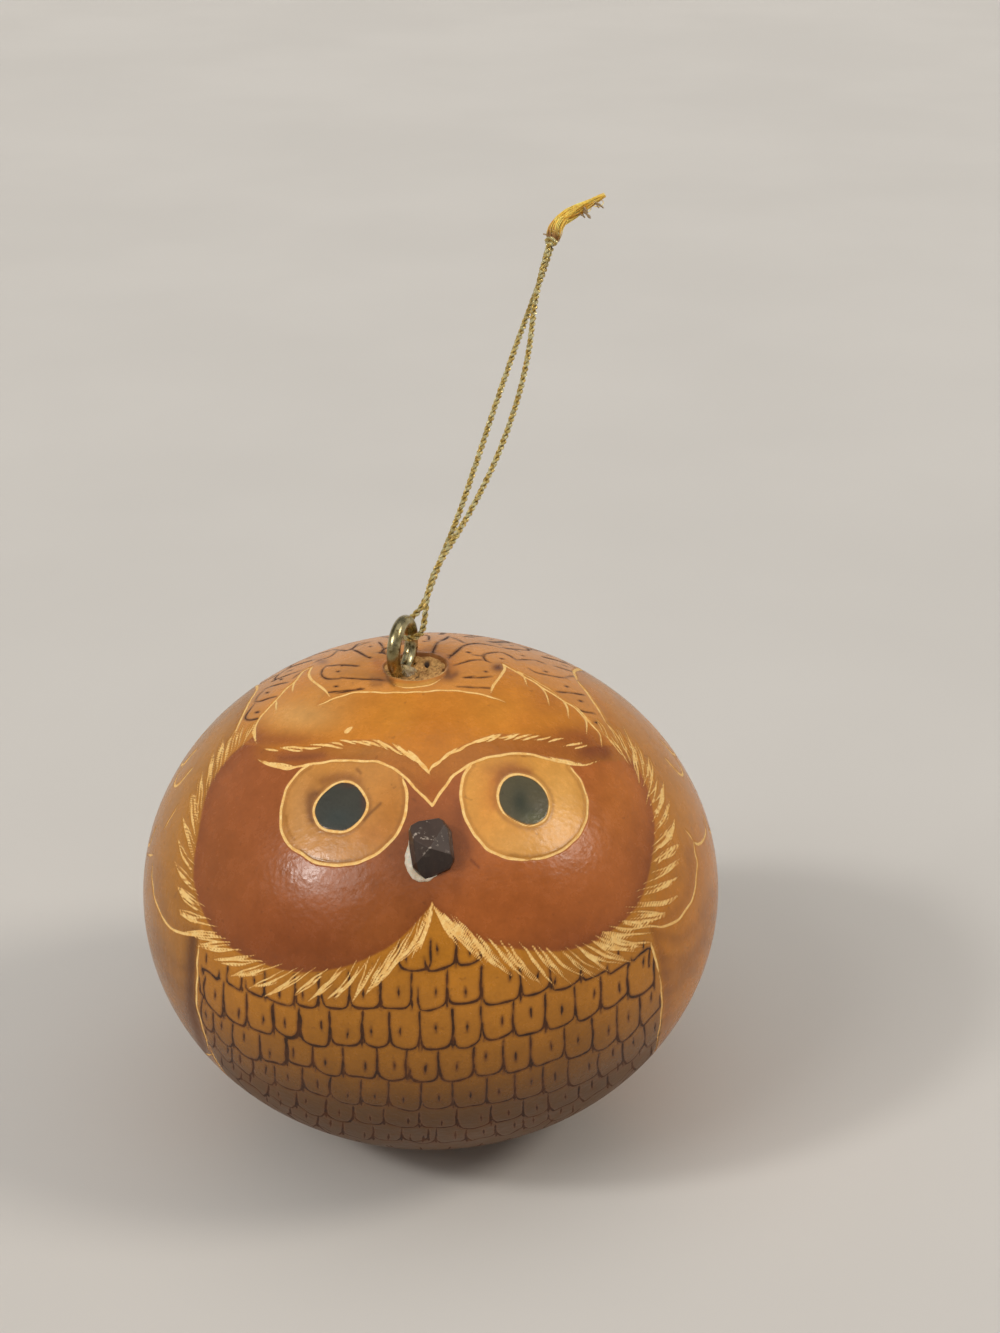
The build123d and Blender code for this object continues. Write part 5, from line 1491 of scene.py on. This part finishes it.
# painted shade and glints: outer is how far a point lies from the cord's axis, low in the grooves between strands,
# which the material darkens; bead is bands of painted glints along each strand
outer, bead = np.full(len(v), 0.3), np.zeros(len(v))
for k in range(STRANDS):
    off = v[k * per : k * per + len(along) * 8].reshape(-1, 8, 3) - fine[:, None]
    outer[k * per : k * per + len(along) * 8] = np.clip(np.linalg.norm(off, axis=2) / (LAY_R + STRAND_R), 0, 1).ravel()
    wave = 0.5 + 0.5 * np.sin(2 * math.pi * along / 0.9 + math.pi * k + 1.6 * np.sin(along * 0.37) + 0.8 * np.sin(along * 1.3 + k))
    bead[k * per : k * per + len(along) * 8] = np.repeat(wave * (0.75 + 0.25 * np.sin(along * 0.9 + 2 * k)), 8)
attribute(cord, "outer", "FLOAT", outer)
attribute(cord, "bead", "FLOAT", bead)
only(cord, cord_mat)
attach(cord, "loop")
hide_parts("hanging_cord")

# ---------------------------------------------------------------- knot: the two legs wrapped and drawn tight
kt = np.linspace(0, 1, 170)
wraps = 3.0
kr = 0.54 + 0.14 * np.sin(kt * 11 + 0.6)
ka = kt * 2 * math.pi * wraps
ku = 64.35 + 1.9 * kt + 0.25 * np.sin(ka * 0.5 + 1)
core_path = np.stack([ku, 3.5 + kr * np.cos(ka), kr * np.sin(ka)], -1)
lead_in = [(63.7, 3.5, 0.54), (64.05, 3.7, 0.56)]
lead_out = [(66.2, 3.1, -0.35), (66.6, 3.35, -0.1), (67.1, 3.5, 0.0)]
second = np.stack([64.25 + 2.0 * kt, 3.5 + 0.35 * np.cos(ka * 0.7 + 2.0), 0.35 * np.sin(ka * 0.7 + 2.0)], -1)
knot_tubes = []
for pts in (np.vstack([lead_in, core_path, lead_out]), np.vstack([[(63.7, 3.5, -0.54)], second, [(66.9, 3.6, 0.1)]])):
    p = np.array([at_loop(*q) for q in pts])
    p, s = resample(p, 0.12)
    t, a, b = frames_along(p)
    for k in range(3):
        th = s * 2 * math.pi / PITCH + 2 * math.pi * k / 3
        c = p + (np.cos(th)[:, None] * a + np.sin(th)[:, None] * b) * 0.17
        knot_tubes.append(tube(c, 0.19, 8))
v, f = gather(knot_tubes)
knot = new_mesh("gold_cord_knot", v, f)
kth = knot.data.attributes.new("thread", "FLOAT_VECTOR", "POINT")
kth.data.foreach_set("vector", (v * 9).astype(np.float32).ravel())
# the same painted shade and glints on the knot: darker towards its middle, glints in a wave pattern
attribute(knot, "outer", "FLOAT", np.clip(np.linalg.norm((v - at_loop(65.3, 3.5, 0.0)) @ np.stack([N_DIR, W_DIR], 1), axis=1) / 0.85, 0.2, 1))
attribute(knot, "bead", "FLOAT", 0.5 + 0.5 * np.sin(v @ [5.0, 4.0, 6.0]))
only(knot, cord_mat)
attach(knot, "loop")
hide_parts("cord_knot")

# ---------------------------------------------------------------- frayed tails
tail = smooth(np.array([(66.4, 3.5, 0.0), (67.9, 3.6, 0.0), (69.4, 4.6, 0.0), (70.8, 6.0, 0.0), (72.2, 7.6, 0.0), (73.8, 9.4, 0.0)]), 0.4)
tail_tubes = []
r3 = np.random.default_rng(5)
for k in range(230):
    phase, spin = r3.uniform(0, 6.28), r3.uniform(-1.2, 1.2)
    reach = r3.uniform(0.5, 1.0) if r3.random() < 0.6 else r3.uniform(0.8, 1.0)
    out_r = 1.05 * math.sqrt(r3.random())
    n = max(6, int(len(tail) * reach))
    s = np.linspace(0, 1, n)
    spread = 0.74 + 0.26 * np.clip(s * 3.2, 0, 1) - 0.68 * np.clip((s - 0.45) / 0.55, 0, 1)
    loose = 1 + 0.35 * np.clip((s - 0.7) / 0.3, 0, 1) * r3.uniform(-0.6, 0.9)
    wav = 0.06 * np.sin(s * r3.uniform(8, 22) + phase)
    off_n = (out_r * np.cos(phase + spin * s * 3) + wav) * spread * loose
    off_w = (out_r * np.sin(phase + spin * s * 3) + wav) * spread * loose
    pts = np.array([at_loop(q[0] - 0.5 * o, q[1] + 0.6 * o, w) for q, o, w in zip(tail[:n], off_n, off_w)])
    tail_tubes.append(tube(pts, np.linspace(0.075, 0.03, n), 4))
for curl in ([(70.6, 6.6, -0.2), (70.9, 7.3, -0.5), (71.7, 7.4, -0.6), (71.6, 6.7, -0.5)], [(71.6, 7.9, -0.2), (71.9, 8.7, -0.5), (72.8, 8.9, -0.6), (73.2, 8.2, -0.4)]):
    p = smooth(np.array(curl), 0.1)
    tail_tubes.append(tube(np.array([at_loop(*q) for q in p]), 0.05, 5))
plain = sum(len(q[0]) for q in tail_tubes)
for k in range(54):
    # loose threads that lie over the knot, brown gold at the root
    th, w0 = r3.uniform(0, 6.28), r3.uniform(0.7, 0.95)
    p = smooth(np.array([(u, 3.5 + dn + w * math.cos(th + tw), w * math.sin(th + tw)) for u, w, tw, dn in (
        (64.5 + r3.uniform(-0.2, 0.4), 0.62 * w0, 0.0, 0.0), (65.2, 0.95 * w0, 0.3, 0.0), (66.2, 1.15 * w0, 0.5, 0.0), (67.2, 1.1 * w0, 0.6, 0.05), (68.6, 1.0 * w0, 0.7, 0.5))]), 0.2)
    tail_tubes.append(tube(np.array([at_loop(*q) for q in p]), np.linspace(0.05, 0.06, len(p)), 4))
over = sum(len(q[0]) for q in tail_tubes)
for k in range(20):
    # short brown tufts that hang off the end, and stubs at the knot
    at_end = k < 13
    base_at = (r3.choice([70.3, 70.8, 72.0]) + r3.uniform(-0.15, 0.15), 0.0, r3.uniform(-0.4, 0.3)) if at_end else (r3.uniform(65.3, 66.6), 3.5, r3.uniform(-0.8, 0.8))
    n0 = np.interp(base_at[0], tail[:, 0], tail[:, 1]) + 0.5 if at_end else 3.5 + r3.uniform(-0.6, 0.6)
    reach = r3.uniform(0.8, 1.5)
    du, dn, dw = (r3.uniform(-0.5, 0.1), r3.uniform(0.3, 0.9), -r3.uniform(0.3, 0.9)) if at_end else (r3.uniform(0.1, 0.8), (n0 - 3.5) * 1.2, r3.uniform(-0.5, 0.5))
    p = smooth(np.array([(base_at[0] + du * reach * q, n0 + dn * reach * q + 0.12 * math.sin(5 * q + k), base_at[2] + dw * reach * q) for q in (0, 0.35, 0.7, 1.0)]), 0.2)
    tail_tubes.append(tube(np.array([at_loop(*q) for q in p]), np.linspace(0.15, 0.11, len(p)), 5))
sizes = [len(q[0]) for q in tail_tubes]
v, f = gather(tail_tubes)
tails = new_mesh("frayed_cord_ends", v, f)
root = np.zeros(len(v))
root[plain:over] = np.clip(1.0 - np.linalg.norm(v[plain:over] - at_loop(64.6, 3.5, 0.0), axis=1) / 3.4, 0, 0.75)
root[over:] = 1.0
root[:plain] = np.clip(1.2 - np.linalg.norm(v[:plain] - at_loop(66.4, 3.5, 0.0), axis=1) / 1.6, 0, 0.8)
attribute(tails, "root", "FLOAT", root)
attribute(tails, "tint", "FLOAT", np.concatenate([np.full(n, r3.random()) for n in sizes]))
only(tails, fray_mat)
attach(tails, "loop")
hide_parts("cord_tails")

# ---------------------------------------------------------------- floor and light
sweep_r = [0.15, 0.4, 0.8, 1.2, 1.6] + [1.6 + 1.4 * math.sin(q) for q in np.radians(np.arange(6, 91, 6))]
sweep_z = [0.0] * 5 + [1.4 * (1 - math.cos(q)) for q in np.radians(np.arange(6, 91, 6))]
sa = np.linspace(0, 2 * math.pi, 129)[:-1]
sv = np.vstack([np.stack([r * np.cos(sa), r * np.sin(sa), z + 0 * sa], -1) for r, z in zip(sweep_r, sweep_z)] + [[[0, 0, 0]]]) * 1000
i = np.arange(128)
j = (i + 1) % 128
sq = np.vstack([np.stack([k * 128 + i, (k + 1) * 128 + i, (k + 1) * 128 + j, k * 128 + j], 1) for k in range(len(sweep_r) - 1)])
floor = new_mesh("floor", sv, [sq, np.stack([np.full(128, len(sv) - 1), i, j], 1)])
m = Nodes("floor_paint")
m.set(Base_Color=m.mix(m.ramp(m.noise(9, 3, 0.5), 0.3, 0.7), col(205, 202, 197), col(209, 206, 201)), Roughness=0.8)
only(floor, m.mat)

world = bpy.data.worlds.new("studio")
world.use_nodes = True
wt = world.node_tree
sky = wt.nodes.new("ShaderNodeTexCoord")
split = wt.nodes.new("ShaderNodeSeparateXYZ")
rise = wt.nodes.new("ShaderNodeMapRange")
rise.inputs["From Min"].default_value = 0.0
rise.inputs["From Max"].default_value = 1.0
rise.inputs["To Min"].default_value = 0.30
rise.inputs["To Max"].default_value = 0.17
wt.links.new(sky.outputs["Generated"], split.inputs[0])
wt.links.new(split.outputs["Z"], rise.inputs["Value"])
wt.links.new(rise.outputs["Result"], wt.nodes["Background"].inputs["Strength"])
wt.nodes["Background"].inputs["Color"].default_value = (0.98, 0.98, 1.0, 1.0)
scene.world = world


def sun(name, az, el, strength, angle, colour):
    data = bpy.data.lights.new(name, "SUN")
    data.energy = strength
    data.angle = math.radians(angle)
    data.color = colour
    ob = bpy.data.objects.new(name, data)
    scene.collection.objects.link(ob)
    a, e = math.radians(az), math.radians(el)
    back = Vector((math.sin(a) * math.cos(e), -math.cos(a) * math.cos(e), math.sin(e)))
    ob.rotation_mode = "QUATERNION"
    ob.rotation_quaternion = (-back).to_track_quat("-Z", "Y")
    return ob


sun("key", -63, 39, 0.75, 8, (1.0, 0.97, 0.93))
sun("window", -52, 42, 0.66, 24, (1.0, 0.97, 0.93))
sun("right", 78, 42, 0.88, 16, (1.0, 0.92, 0.82))
sun("overhead", 10, 80, 0.75, 70, (1.0, 0.98, 0.95))

scene.view_settings.view_transform = "Standard"
scene.view_settings.look = "None"
